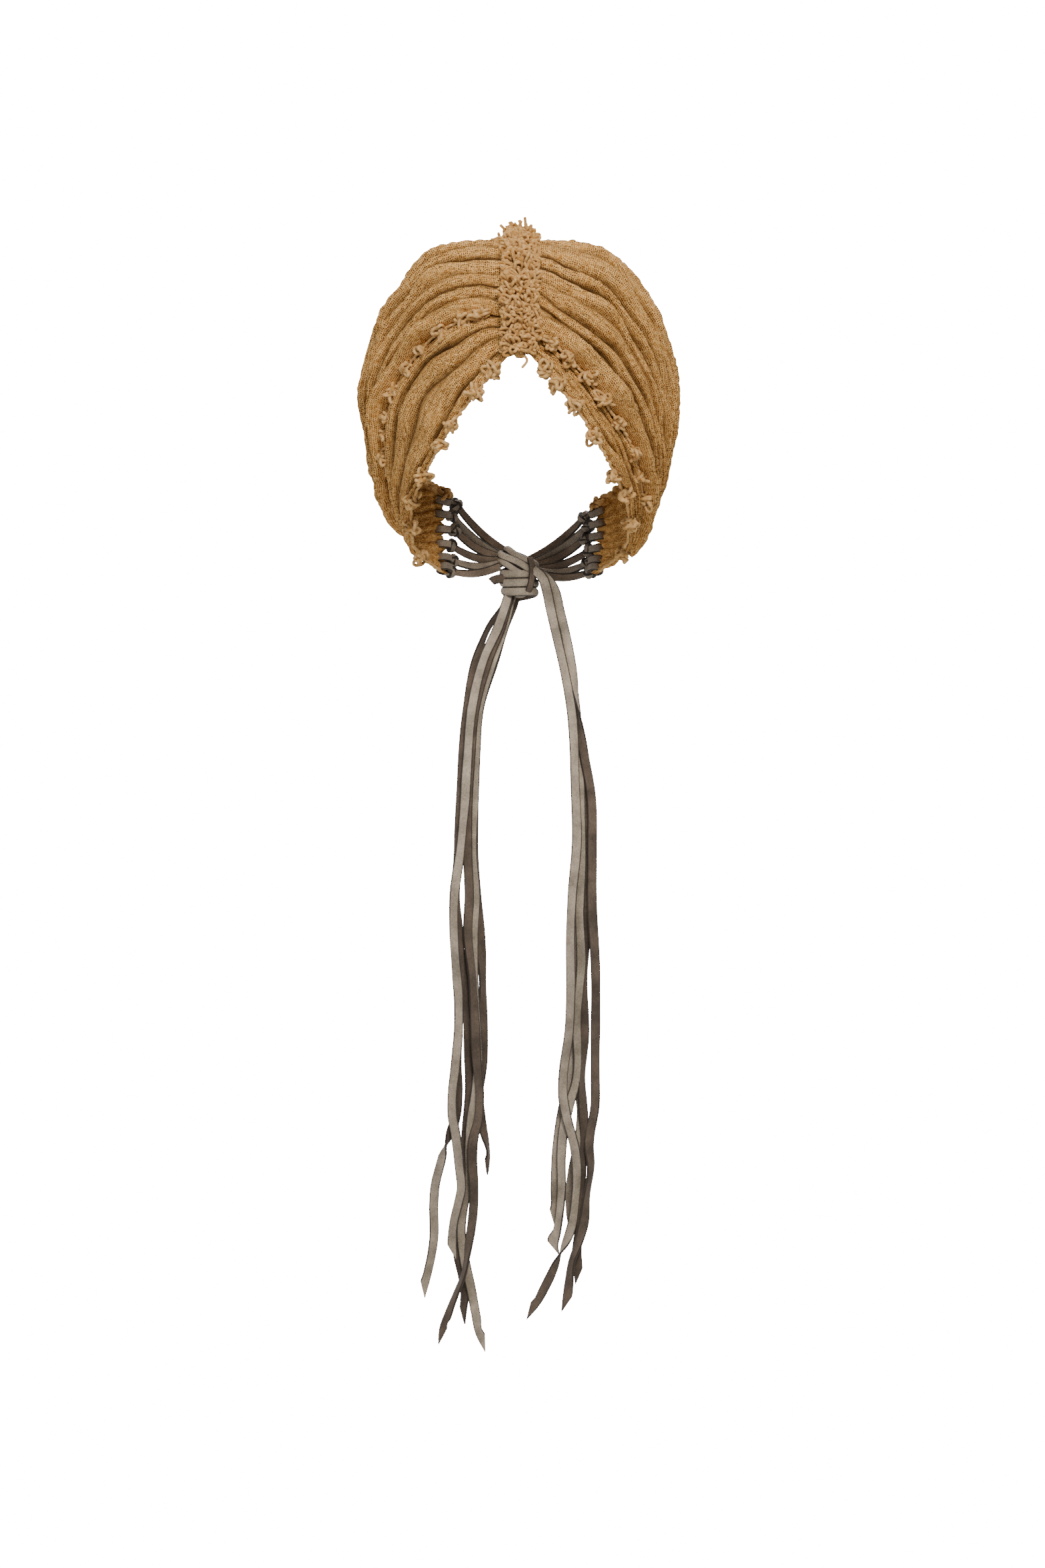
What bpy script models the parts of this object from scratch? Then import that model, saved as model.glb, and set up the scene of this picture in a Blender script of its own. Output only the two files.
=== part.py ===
"""Gauze turban gathered by a looped band and tied behind with leather laces, in metres, +Z up, front -Y."""

import math

import bmesh
import bpy
import numpy as np
from mathutils import Matrix, Vector

# The head that the turban is shaped for, from its middle at brow height
HALF_WIDTH = 0.092
HALF_DEPTH = 0.092
CROWN_HEIGHT = 0.103

# Gauze
WALL = 0.0021
LAYER_LIFT = 0.0056
LAYER_LIFT_AT_END = 0.0040
UNDER_PUFF = 0.0031
OVER_PUFF = 0.0042
SECTION_WEIGHT = 0.66
CLEARANCE = 0.0004
FULL_PLEAT = 0.055

# Looped band
BAND_WIDTH = 0.026
BAND_PILE = 0.0062
TAPE_WIDTH = 0.008
TAPE_THICKNESS = 0.0012
TAPE_GAP = 0.0010
CROWN_LOCK = 0.0085

# Tufted selvage
TRIM_CORD = 0.0017
TUFT_SIZE = 0.0062
EDGE_STEP = 0.002

# Leather laces
LACE_WIDTH = 0.0063
LACE_THICKNESS = 0.0015
BIGHT_WIDTH = 0.0043
BIGHT_REACH = 0.0057
EYELET_INSET = 0.0060
LACE_KNOT_SIZE = 0.0050

# Knot behind the neck, from its middle
KNOT_CENTRE = (-0.0005, 0.070, -0.1045)
KNOT_RADIUS = 0.0115
KNOT_HEIGHT = 0.025
KNOT_DEPTH = 0.0200
TAIL_PITCH = 0.0020
LACE_LAYER = 0.0023
# How far the laces of each side, and the tails, lie behind the knot's middle, in their own pitch
LACES_BEHIND = {"left": 0.0, "right": 2.6}
TAILS_BEHIND = {"left": 0.0, "right": -3.4}

# Share of the way from the band to the gathered end, then rim, middle and rear edge as shares of
# half width, half depth and crown height
STATIONS = (
    # along  rim x, y, z            middle x, y, z         rear x, y, z
    (0.00, (0.00, -1.00, 0.41), (0.00, -0.09, 1.035), (0.00, 0.83, 0.64)),
    (0.12, (0.14, -0.99, 0.31), (0.29, -0.09, 1.035), (0.26, 0.85, 0.62)),
    (0.25, (0.28, -0.95, 0.17), (0.565, -0.04, 0.93), (0.50, 0.85, 0.54)),
    (0.40, (0.43, -0.85, 0.00), (0.775, 0.02, 0.65), (0.68, 0.80, 0.38)),
    (0.55, (0.55, -0.72, -0.17), (0.935, 0.10, 0.25), (0.85, 0.74, 0.16)),
    (0.70, (0.66, -0.52, -0.35), (0.945, 0.17, -0.16), (0.88, 0.70, -0.08)),
    (0.82, (0.76, -0.15, -0.56), (0.89, 0.33, -0.48), (0.85, 0.67, -0.23)),
    (0.92, (0.73, 0.24, -0.82), (0.76, 0.52, -0.70), (0.71, 0.67, -0.37)),
    (1.00, (0.52, 0.61, -0.96), (0.53, 0.67, -0.73), (0.52, 0.66, -0.46)),
)
# How far the rear corner of each gathered end lies below the table's, as a share of crown height
END_DROP = {"left": 0.00, "right": 0.08}

# Where each crease lies across the cloth, 0 at the front rim and 1 at the rear edge, at five places
# from the band to the gathered end, and how deep it is. The last crease of the under layer is the
# first of the over layer: the overlap.
CREASE_PLACES = (0.0, 0.25, 0.5, 0.75, 1.0)
UNDER_CREASES = {
    "left": (
        # at the band, brow, side, ear, end   depth
        ((0.000, 0.000, 0.000, 0.000, 0.00), 0.8),
        ((0.045, 0.033, 0.022, 0.035, 0.10), 1.0),
        ((0.075, 0.095, 0.150, 0.200, 0.26), 0.7),
        ((0.100, 0.150, 0.255, 0.330, 0.40), 0.9),
        ((0.125, 0.200, 0.310, 0.430, 0.50), 1.0),
    ),
    "right": (
        ((0.000, 0.000, 0.000, 0.000, 0.00), 0.8),
        ((0.022, 0.026, 0.030, 0.055, 0.09), 0.7),
        ((0.042, 0.044, 0.056, 0.105, 0.17), 0.5),
        ((0.058, 0.062, 0.080, 0.155, 0.24), 0.8),
        ((0.075, 0.080, 0.105, 0.205, 0.30), 1.0),
    ),
}
OVER_CREASES = {
    "left": (
        (UNDER_CREASES["left"][-1][0], 1.0),
        ((0.165, 0.250, 0.360, 0.480, 0.55), 0.6),
        ((0.215, 0.300, 0.410, 0.530, 0.60), 1.0),
        ((0.257, 0.350, 0.470, 0.580, 0.65), 0.5),
        ((0.350, 0.430, 0.530, 0.635, 0.70), 1.0),
        ((0.450, 0.510, 0.600, 0.690, 0.75), 0.7),
        ((0.550, 0.600, 0.670, 0.745, 0.80), 0.5),
        ((0.650, 0.690, 0.740, 0.800, 0.85), 0.8),
        ((0.750, 0.780, 0.815, 0.860, 0.90), 0.5),
        ((0.870, 0.880, 0.900, 0.925, 0.95), 0.8),
        ((1.000, 1.000, 1.000, 1.000, 1.00), 0.7),
    ),
    "right": (
        (UNDER_CREASES["right"][-1][0], 1.0),
        ((0.145, 0.142, 0.185, 0.280, 0.38), 1.0),
        ((0.182, 0.180, 0.245, 0.330, 0.44), 0.8),
        ((0.230, 0.240, 0.295, 0.380, 0.50), 0.5),
        ((0.282, 0.300, 0.345, 0.430, 0.56), 1.0),
        ((0.345, 0.345, 0.410, 0.490, 0.61), 1.0),
        ((0.460, 0.460, 0.500, 0.570, 0.68), 0.5),
        ((0.580, 0.590, 0.610, 0.660, 0.75), 0.8),
        ((0.700, 0.710, 0.730, 0.760, 0.82), 0.5),
        ((0.850, 0.855, 0.860, 0.880, 0.91), 0.8),
        ((1.000, 1.000, 1.000, 1.000, 1.00), 0.7),
    ),
}
# Where the tufts sit along each selvage, as shares of the way from the band to the gathered end
RIM_TUFTS = {
    "left": (0.16, 0.28, 0.45, 0.55, 0.71, 0.79, 0.86, 0.93),
    "right": (0.15, 0.23, 0.34, 0.50, 0.70, 0.77, 0.85, 0.92),
}
OVERLAP_TUFTS = {
    "left": (0.15, 0.22, 0.31, 0.40, 0.47, 0.54, 0.61, 0.66, 0.71),
    "right": (0.15, 0.23, 0.34, 0.44, 0.54, 0.66, 0.73, 0.79),
}
UNDER_MARGIN = 0.10
BAND_END = 0.135
OVER_END = 0.93
COLUMNS = 36

# Eyelets in each gathered end as shares from rim to rear edge, and where the lace from each reaches
# the knot, from the knot's middle: out to its side in metres, up in shares of the knot's height
EYELETS = (0.09, 0.25, 0.42, 0.58, 0.74, 0.90)
LACE_ENDS = {
    "left": ((0.0123, 0.42), (0.0114, 0.50), (0.0124, 0.58), (0.0132, 0.66), (0.0127, 0.72), (0.0085, 0.80)),
    "right": ((0.0124, 0.24), (0.0114, 0.30), (0.0102, 0.36), (0.0085, 0.42), (0.0060, 0.48), (0.0040, 0.54)),
}
# The free ends of the laces: points in millimetres, left-right and height, from the knot to the tip,
# and each one's own depth behind the next, in tail pitches from the knot's middle
MM = 0.001
TAIL_ROUTES = {
    "left": (
        (0, ((-10, -118), (-20, -133), (-28, -153), (-34, -185), (-37, -218), (-39, -251), (-40, -281),
             (-42, -311), (-40, -330), (-39, -346), (-39, -363), (-40, -396), (-41, -415), (-40, -437),
             (-41, -451), (-45, -462), (-49, -473), (-52, -484), (-55, -496), (-56, -508), (-56, -531),
             (-61, -557), (-65, -570))),
        (-2, ((-9, -118), (-14, -133), (-23, -153), (-31, -185), (-34, -218), (-36, -251), (-39, -281),
              (-43, -311), (-43, -330), (-42, -346), (-40, -376), (-40, -396), (-42, -419), (-44, -437),
              (-44, -451), (-42, -462), (-39, -487), (-38, -498), (-40, -508), (-43, -521), (-44, -535),
              (-44, -546))),
        (-1, ((-8, -118), (-12, -133), (-20, -153), (-29, -185), (-32, -218), (-34, -251), (-34, -281),
              (-33, -311), (-34, -330), (-31, -363), (-29, -396), (-28, -415), (-26, -437), (-27, -454),
              (-30, -465), (-31, -478), (-30, -496), (-30, -508), (-33, -534), (-37, -556), (-41, -566),
              (-46, -579), (-50, -592), (-50, -601))),
        (2, ((-7, -118), (-11, -133), (-18, -153), (-28, -185), (-30, -218), (-31, -251), (-31, -281),
             (-31, -311), (-32, -330), (-35, -363), (-34, -396), (-33, -437), (-34, -454), (-36, -482),
             (-35, -491), (-39, -510), (-42, -519), (-42, -532), (-40, -545), (-37, -556), (-36, -567),
             (-37, -578), (-38, -587))),
        (1, ((-6, -118), (-10, -133), (-17, -153), (-26, -185), (-29, -218), (-30, -251), (-31, -281),
             (-29, -311), (-30, -330), (-30, -363), (-28, -396), (-27, -415), (-29, -437), (-32, -454),
             (-33, -470), (-33, -495), (-36, -508), (-38, -524), (-35, -550), (-32, -563), (-29, -579),
             (-26, -593), (-20, -604))),
        (3, ((-4, -118), (-10, -133), (-16, -153), (-26, -185), (-29, -218), (-30, -251), (-30, -281),
             (-28, -311), (-26, -330), (-25, -346), (-24, -396), (-24, -415), (-26, -437), (-25, -454),
             (-21, -480), (-23, -490))),
    ),
    "right": (
        (2, ((12.8, -99), (18, -103), (19, -107), (23, -122), (27, -140), (31, -162), (35, -184),
             (37, -240), (39, -281), (36, -335), (37, -357), (35, -402), (33, -422), (30, -437),
             (27, -450), (24, -474), (23, -496), (22, -513), (20, -523))),
        (-2, ((8.6, -96), (15, -102), (17, -108), (20, -122), (24, -140), (29, -162), (33, -184),
              (36, -240), (37, -272), (34, -308), (33, -330), (33, -374), (32, -396), (28, -426),
              (28, -439), (30, -450), (36, -474), (37, -489), (36, -504), (32, -528), (26, -541),
              (19, -557), (10, -573), (2, -582))),
        (-1, ((8.6, -96), (18, -102), (22, -108), (26, -123), (30, -140), (34, -162), (37, -184),
              (42, -218), (46, -240), (47, -281), (47, -315), (49, -352), (49, -413), (49, -428),
              (49, -443), (45, -471), (46, -482), (43, -506), (42, -519), (37, -537), (34, -545),
              (32, -559), (30, -579))),
        (1, ((12.2, -99), (18, -103), (20, -109), (24, -124), (29, -140), (33, -162), (36, -184),
             (38, -207), (42, -263), (44, -319), (43, -335), (41, -363), (42, -396), (40, -428),
             (41, -445), (42, -463), (41, -480), (39, -508), (39, -521), (37, -541), (38, -552),
             (39, -561))),
        (0, ((10.4, -98), (18, -103), (21, -109), (25, -124), (29, -140), (32, -162), (36, -184),
             (37, -207), (39, -240), (40, -281), (39, -319), (40, -350), (37, -385), (36, -430),
             (31, -448), (28, -463), (27, -476), (27, -502), (24, -527), (22, -536), (23, -543))),
        (3, ((13.4, -99), (18, -103), (20, -108), (23, -123), (28, -140), (32, -162), (35, -184),
             (36, -207), (39, -263), (40, -281), (38, -319), (40, -363), (37, -415), (38, -432),
             (40, -448), (39, -463), (34, -489), (32, -502), (33, -515), (36, -527))),
    ),
}
TAIL_POINTS = 18
TILT = Matrix.Rotation(math.radians(-6), 3, "Y")
WRAP_TILT = Matrix.Rotation(math.radians(28), 3, "Y")

SIGN = {"left": -1, "right": 1}


def smooth_between(knots, values, at):
    """Values on a smooth curve through the knots, each with the slope that its neighbours give it."""
    knots = np.asarray(knots, float)
    values = np.asarray(values, float)
    slopes = np.gradient(values, knots, axis=0)
    at = np.clip(np.asarray(at, float), knots[0], knots[-1])
    low = np.clip(np.searchsorted(knots, at, side="right") - 1, 0, len(knots) - 2)
    span = knots[low + 1] - knots[low]
    share = (at - knots[low]) / span
    if values.ndim > 1:
        share = share[..., None]
        span = span[..., None]
    return (
        values[low] * (2 * share**3 - 3 * share**2 + 1)
        + values[low + 1] * (3 * share**2 - 2 * share**3)
        + slopes[low] * span * (share**3 - 2 * share**2 + share)
        + slopes[low + 1] * span * (share**3 - share**2)
    )


def station_points():
    """Knots from the left end to the right end, and the rim, middle and rear points there."""
    size = np.array((HALF_WIDTH, HALF_DEPTH, CROWN_HEIGHT))
    knots = []
    points = []
    for side in ("left", "right"):
        rows = STATIONS[::-1] if side == "left" else STATIONS[1:]
        for share, *row in rows:
            placed = np.array(row) * size * (SIGN[side], 1, 1)
            placed[1:, 2] -= np.array((0.5, 1)) * END_DROP[side] * CROWN_HEIGHT * share**6
            knots.append(SIGN[side] * share)
            points.append(placed)
    return knots, np.array(points)


KNOTS, POINTS = station_points()


def base_point(along, across):
    """A point of the head's shape: along is -1 to 1 between the ends, across 0 to 1 from rim to rear."""
    stations = smooth_between(KNOTS, POINTS.reshape(-1, 9), along).reshape(-1, 3, 3)
    rim, middle, rear = np.moveaxis(stations, 1, 0)
    pull = ((2 + 2 * SECTION_WEIGHT) * middle - rim - rear) / (2 * SECTION_WEIGHT)
    v = np.asarray(across, float)[:, None]
    weights = (1 - v) ** 2, 2 * SECTION_WEIGHT * v * (1 - v), v**2
    return (weights[0] * rim + weights[1] * pull + weights[2] * rear) / sum(weights)


def base_frame(along, across, step=0.004):
    """Point, outward normal and direction towards the rear edge, at many places at once."""
    along = np.asarray(along, float)
    across = np.asarray(across, float)
    point = base_point(along, across)
    rearward = base_point(along, across + step) - base_point(along, across - step)
    sideways = base_point(np.minimum(along + step, 1), across)
    sideways -= base_point(np.maximum(along - step, -1), across)
    normal = np.cross(sideways, rearward)
    normal /= np.linalg.norm(normal, axis=1)[:, None]
    rearward /= np.linalg.norm(rearward, axis=1)[:, None]
    return point, normal, rearward


def creases_at(tables, along):
    """Place and depth of each crease at one place along the cloth, the two sides joined under the band."""
    to_right = min(max((along / BAND_END + 1) / 2, 0), 1)
    found = []
    for (left, left_depth), (right, right_depth) in zip(tables["left"], tables["right"]):
        places = smooth_between(CREASE_PLACES, np.array((left, right)).T, abs(along))
        depth = left_depth * (1 - to_right) + right_depth * to_right
        found.append((places @ (1 - to_right, to_right), depth))
    return found


def fullness(along):
    """The pleats are pressed flat under the band, full over the sides and small again at the ends."""
    return float(smooth_between((0, 0.14, 0.24, 0.78, 0.93, 1), (0.1, 0.12, 1, 1, 0.2, 0.1), abs(along)))


def layer_lift(along):
    lifts = (LAYER_LIFT, LAYER_LIFT, LAYER_LIFT_AT_END, LAYER_LIFT_AT_END)
    return float(smooth_between((0, 0.75, 0.93, 1), lifts, abs(along)))


def overlap_edge(along):
    return creases_at(OVER_CREASES, along)[0][0]


def pleat_rows(tables, along, puff):
    """Place and height of each crease, and of the ridge between each two."""
    creases = creases_at(tables, along)
    full = fullness(along) * puff
    rows = [(creases[0][0], full * (1 - creases[0][1]))]
    for (before, _), (place, depth) in zip(creases, creases[1:]):
        rows.append(((before + place) / 2, full * min(1, (place - before) / FULL_PLEAT)))
        rows.append((place, full * (1 - depth)))
    return rows


def under_rows(along):
    """The pleats, and behind the overlap a flat margin that widens to the whole width at the ends."""
    rows = pleat_rows(UNDER_CREASES, along, UNDER_PUFF)
    edge = rows[-1][0]
    widened = float(smooth_between((0, 0.6, 0.95, 1), (0, 0, 1, 1), abs(along)))
    back = edge + UNDER_MARGIN + (1 - edge - UNDER_MARGIN) * min(max(widened, 0), 1)
    return rows + [(edge + (back - edge) * share, 0.0) for share in (0.5, 1)]


def over_rows(along):
    return pleat_rows(OVER_CREASES, along, OVER_PUFF)


def object_of(name, mesh, colour, roughness):
    material = bpy.data.materials.get(colour[0]) or bpy.data.materials.new(colour[0])
    material.use_nodes = True
    shader = material.node_tree.nodes["Principled BSDF"]
    shader.inputs["Base Color"].default_value = (*colour[1], 1)
    shader.inputs["Roughness"].default_value = roughness
    made = bpy.data.objects.new(name, mesh)
    made.data.materials.append(material)
    bpy.context.collection.objects.link(made)
    return made


GAUZE = ("ochre_gauze", (0.54, 0.32, 0.11))
PILE = ("ochre_pile", (0.60, 0.38, 0.16))
LEATHER = ("taupe_leather", (0.16, 0.12, 0.08))


def mesh_of(bm, name):
    bmesh.ops.recalc_face_normals(bm, faces=bm.faces)
    if bm.calc_volume(signed=True) < 0:
        bmesh.ops.reverse_faces(bm, faces=bm.faces)
    mesh = bpy.data.meshes.new(name)
    bm.to_mesh(mesh)
    bm.free()
    return mesh


def walled_grid(name, inner, outer):
    """A closed wall between two grids of points, columns by rows."""
    columns, rows = inner.shape[:2]
    bm = bmesh.new()
    bmesh.ops.create_grid(bm, x_segments=rows - 1, y_segments=columns - 1, size=0.5)
    place = bm.verts.layers.int.new("place")
    for vert in bm.verts:
        row = round((vert.co.x + 0.5) * (rows - 1))
        column = round((vert.co.y + 0.5) * (columns - 1))
        vert[place] = column * rows + row
    grown = bmesh.ops.extrude_face_region(bm, geom=bm.faces[:], use_keep_orig=True)
    raised = {item for item in grown["geom"] if isinstance(item, bmesh.types.BMVert)}
    inner = inner.reshape(-1, 3)
    outer = outer.reshape(-1, 3)
    for vert in bm.verts:
        vert.co = Vector((outer if vert in raised else inner)[vert[place]])
    return mesh_of(bm, name)


def cloth_layer(name, columns, rows_at, lift_at):
    """A gauze layer: rows_at gives each column's places across and pleat heights, lift_at its height."""
    inner, outer = [], []
    for along in columns:
        places, heights = np.array(rows_at(along)).T
        point, normal, _ = base_frame(np.full(len(places), along), places)
        raised = (heights + lift_at(along))[:, None]
        inner.append(point + normal * (raised - WALL / 2))
        outer.append(point + normal * (raised + WALL / 2))
    return object_of(name, walled_grid(name, np.array(inner), np.array(outer)), GAUZE, 0.9)


def hide(guide):
    guide.hide_render = True
    guide.display_type = "WIRE"
    return guide


def combine(made, other, operation, solver="EXACT"):
    modifier = made.modifiers.new(operation.lower(), "BOOLEAN")
    modifier.operation = operation
    modifier.solver = solver
    modifier.object = hide(other)
    return made


def skin(bm, rings, closed=False):
    """Bridges each ring of points to the next, and closes the ends, or joins the last to the first."""
    loops = [[bm.verts.new(Vector(point)) for point in ring] for ring in rings]
    pairs = list(zip(loops, loops[1:])) + ([(loops[-1], loops[0])] if closed else [])
    for here, there in pairs:
        for index in range(len(here)):
            after = (index + 1) % len(here)
            bm.faces.new((here[index], here[after], there[after], there[index]))
    if not closed:
        bm.faces.new(loops[0][::-1])
        bm.faces.new(loops[-1])


def strap_rings(points, widths, thickness, flat_way):
    """Four corners round each point of a strap, whose flat side faces flat_way."""
    points = np.asarray(points, float)
    tangents = np.gradient(points, axis=0)
    rings = []
    for point, tangent, width in zip(points, tangents, widths):
        tangent = tangent / np.linalg.norm(tangent)
        across = np.cross(tangent, flat_way)
        across /= np.linalg.norm(across)
        up = np.cross(across, tangent)
        corners = ((1, 1), (-1, 1), (-1, -1), (1, -1))
        rings.append([point + across * width / 2 * a + up * thickness / 2 * b for a, b in corners])
    return rings


def add_tuft(bm, centre, away, size):
    """A knot of yarn: a small ball with two of its faces drawn out into locks, away from the cloth."""
    ball = bmesh.ops.create_icosphere(bm, subdivisions=1, radius=size / 2)
    faces = list({face for vert in ball["verts"] for face in vert.link_faces})
    faces.sort(key=lambda face: -face.normal.dot(Vector(away)))
    drawn = [faces[0], faces[3]]
    verts = set(ball["verts"])
    for face in drawn:
        way = face.normal.copy()
        made = bmesh.ops.extrude_discrete_faces(bm, faces=[face])["faces"][0]
        middle = made.calc_center_median()
        for vert in made.verts:
            vert.co = middle + (vert.co - middle) * 0.55 + way * size * 0.3
            verts.add(vert)
    bmesh.ops.translate(bm, verts=list(verts), vec=Vector(centre))


def selvage(name, side, edge_at, lift_at, tufts, shares, raise_tufts):
    """A thin cord along an edge of the cloth, at the cloth's own columns, and the tufts knotted to it."""

    def place(shares, beyond, above):
        along = np.array(shares) * SIGN[side]
        edge = np.array([edge_at(share) for share in along])
        point, normal, rearward = base_frame(along, edge)
        ahead = along + EDGE_STEP
        way = base_point(ahead, np.array([edge_at(share) for share in ahead])) - point
        way /= np.linalg.norm(way, axis=1)[:, None]
        outward = way * (way * rearward).sum(axis=1)[:, None] - rearward
        outward /= np.linalg.norm(outward, axis=1)[:, None]
        height = np.array([lift_at(share) for share in along])[:, None] + above
        return point + normal * height + outward * beyond, normal * raise_tufts + outward

    gap = TRIM_CORD / 2 + 2 * CLEARANCE
    path, _ = place(shares, gap, 2 * raise_tufts * CLEARANCE)
    bm = bmesh.new()
    skin(bm, strap_rings(path, [TRIM_CORD] * len(path), TRIM_CORD, (0.3, -0.8, 0.5)))
    cord = object_of(name, mesh_of(bm, name), PILE, 0.95)
    bm = bmesh.new()
    for centre, away in zip(*place(tufts, gap + TUFT_SIZE * 0.34, raise_tufts * TUFT_SIZE)):
        add_tuft(bm, centre, away, TUFT_SIZE)
    return combine(cord, object_of(name + "_tufts", mesh_of(bm, name + "_tufts"), PILE, 0.95), "UNION")


def build_band():
    """The looped band: pile outside over both layers, a narrow tape back inside them."""
    edge = overlap_edge(0)
    across = np.concatenate((np.linspace(0, 0.9 * edge, 3), np.linspace(edge, 1, 21)))
    point, normal, rearward = base_frame(np.zeros(len(across)), across)
    skin_out = WALL / 2 + CLEARANCE
    rim_below = point[0] - rearward[0] * 0.0050
    rear_below = point[-1] + rearward[-1] * 0.0022
    stations = [
        (rim_below + normal[0] * skin_out * 1.4, normal[0], BAND_WIDTH * 0.38, BAND_PILE * 0.7),
    ]
    for v, here, way in zip(across, point, normal):
        lift = skin_out + 0.0009 + LAYER_LIFT * min(max((v / edge - 0.4) / 0.5, 0.1), 1)
        narrowed = BAND_WIDTH * (0.80 + 0.20 * min(v / edge, 1))
        stations.append((here + way * lift, way, narrowed, BAND_PILE))
    inside = WALL / 2 + TAPE_GAP
    for lift in (skin_out + LAYER_LIFT, -inside):
        way = rearward[-1] + normal[-1] * math.copysign(1, lift)
        way /= np.linalg.norm(way)
        stations.append((rear_below + normal[-1] * lift, way, TAPE_WIDTH, TAPE_THICKNESS))
    for v, here, way in list(zip(across, point, normal))[-2::-2]:
        narrowed = TAPE_WIDTH * (1 if v > edge else 0.6)
        stations.append((here - way * inside, -way, narrowed, TAPE_THICKNESS))
    stations.append((rim_below - normal[0] * inside, -rearward[0], TAPE_WIDTH * 0.6, TAPE_THICKNESS))
    profile = ((-0.5, 0), (-0.5, 0.55), (-0.3, 1), (-0.1, 0.8), (0.12, 1), (0.32, 0.85), (0.5, 0.5), (0.5, 0))
    rings = []
    for index, (here, way, width, height) in enumerate(stations):
        ring = []
        for corner, (x, y) in enumerate(profile):
            lump = 1 + 0.16 * math.sin(index * 2.4 + 1.9 * corner)
            ring.append(here + np.array((x * width, 0, 0)) + way * y * height * lump)
        rings.append(ring)
    bm = bmesh.new()
    skin(bm, rings, closed=True)
    bmesh.ops.recalc_face_normals(bm, faces=bm.faces)
    top = max(vert.co.z for vert in bm.verts)
    crown = [face for face in bm.faces if face.calc_center_median().z > top - 0.0035 and face.normal.z > 0.5]
    crown.sort(key=lambda face: face.calc_center_median().to_tuple(5))
    for turn, face in enumerate(crown[::2]):
        made = bmesh.ops.extrude_discrete_faces(bm, faces=[face])["faces"][0]
        middle = made.calc_center_median()
        lean = Vector((0.25 * math.sin(turn * 2.1), 0.2 * math.cos(turn * 1.7), 1))
        length = CROWN_LOCK * (0.8 + 0.2 * math.sin(turn * 3.3))
        for vert in made.verts:
            vert.co = middle + (vert.co - middle) * 0.4 + lean * length
    return object_of("looped_band", mesh_of(bm, "looped_band"), PILE, 0.95)


def eyelet_frame(side, share):
    """Edge point of the gathered end, and the ways back along the cloth, out of it and across it."""
    here = SIGN[side]
    edge, normal, _ = (item[0] for item in base_frame([here], [share]))
    back = base_point([here * (1 - 2 / COLUMNS)], [share])[0] - edge
    back /= np.linalg.norm(back)
    normal -= back * (normal @ back)
    normal /= np.linalg.norm(normal)
    return edge, back, normal, np.cross(back, normal)


def cut_eyelets(cloth):
    bm = bmesh.new()
    for side in SIGN:
        for share in EYELETS:
            edge, back, normal, across = eyelet_frame(side, share)
            middle = edge + back * EYELET_INSET
            half = (LACE_THICKNESS / 2 + 3 * CLEARANCE, BIGHT_WIDTH / 2 + 2 * CLEARANCE)
            rings = []
            for reach in (-0.006, 0.006):
                corners = ((1, 1), (-1, 1), (-1, -1), (1, -1))
                level = middle + normal * reach
                rings.append([level + back * half[0] * a + across * half[1] * b for a, b in corners])
            skin(bm, rings)
    cutter = object_of("eyelet_cutter", mesh_of(bm, "eyelet_cutter"), GAUZE, 0.9)
    return combine(cloth, cutter, "DIFFERENCE", "MANIFOLD")


def build_lace(side, number):
    """A lace: a bight through its eyelet and round the cloth's edge, a knot, and the run to the middle."""
    edge, back, normal, across = eyelet_frame(side, EYELETS[number])
    outside = LACE_THICKNESS / 2 + 4 * CLEARANCE
    middle = edge + back * (EYELET_INSET - outside) / 2
    reach = (EYELET_INSET + outside) / 2
    turns = np.linspace(0, 2 * math.pi, 8, endpoint=False)[:, None]
    squared = np.clip(1.25 * np.hstack((np.cos(turns), np.sin(turns))), -1, 1)
    bight = middle + squared @ np.array((back * reach, normal * BIGHT_REACH * 0.7))
    rings = []
    for point in bight:
        outward = point - middle
        outward /= np.linalg.norm(outward)
        corners = ((1, 1), (-1, 1), (-1, -1), (1, -1))
        rings.append(
            [point + across * BIGHT_WIDTH / 2 * a + outward * LACE_THICKNESS / 2 * b for a, b in corners]
        )
    bm = bmesh.new()
    skin(bm, rings, closed=True)
    name = f"lace_{side}_{number + 1}"
    loop = object_of(name, mesh_of(bm, name), LEATHER, 0.7)

    layer = (number - 2.5 + LACES_BEHIND[side]) * LACE_LAYER
    knot = edge - back * (outside + LACE_KNOT_SIZE * (0.42 + 0.45 * (number % 2)))
    knot = knot + np.array((0, number * LACE_LAYER * 0.45, 0))
    out, up = LACE_ENDS[side][number]
    far = np.array(KNOT_CENTRE) + np.array((SIGN[side] * out, layer, KNOT_HEIGHT * up))
    share = np.linspace(0, 1, 5)[:, None]
    run = knot + (far - knot) * share
    run[:, 1] = knot[1] + (far[1] - knot[1]) * np.minimum(share[:, 0] * 4, 1)
    run[:, 2] -= 0.003 * np.sin(share[:, 0] * math.pi)
    run = np.vstack((edge - back * outside, run))
    widths = BIGHT_WIDTH + (LACE_WIDTH - BIGHT_WIDTH) * np.linspace(0, 1, len(run))
    widths[0] = BIGHT_WIDTH / 2
    bm = bmesh.new()
    skin(bm, strap_rings(run, widths, LACE_THICKNESS, (0, -1, 0)))
    run_guide = object_of(name + "_run", mesh_of(bm, name + "_run"), LEATHER, 0.7)
    bm = bmesh.new()
    ball = bmesh.ops.create_icosphere(bm, subdivisions=1, radius=0.5)
    size = Vector((LACE_KNOT_SIZE * 1.1, LACE_KNOT_SIZE * 0.9, LACE_KNOT_SIZE))
    bmesh.ops.scale(bm, vec=size, verts=ball["verts"])
    bmesh.ops.translate(bm, vec=Vector(knot), verts=ball["verts"])
    knot_guide = object_of(name + "_knot", mesh_of(bm, name + "_knot"), LEATHER, 0.7)
    return combine(combine(loop, knot_guide, "UNION"), run_guide, "UNION")


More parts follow.
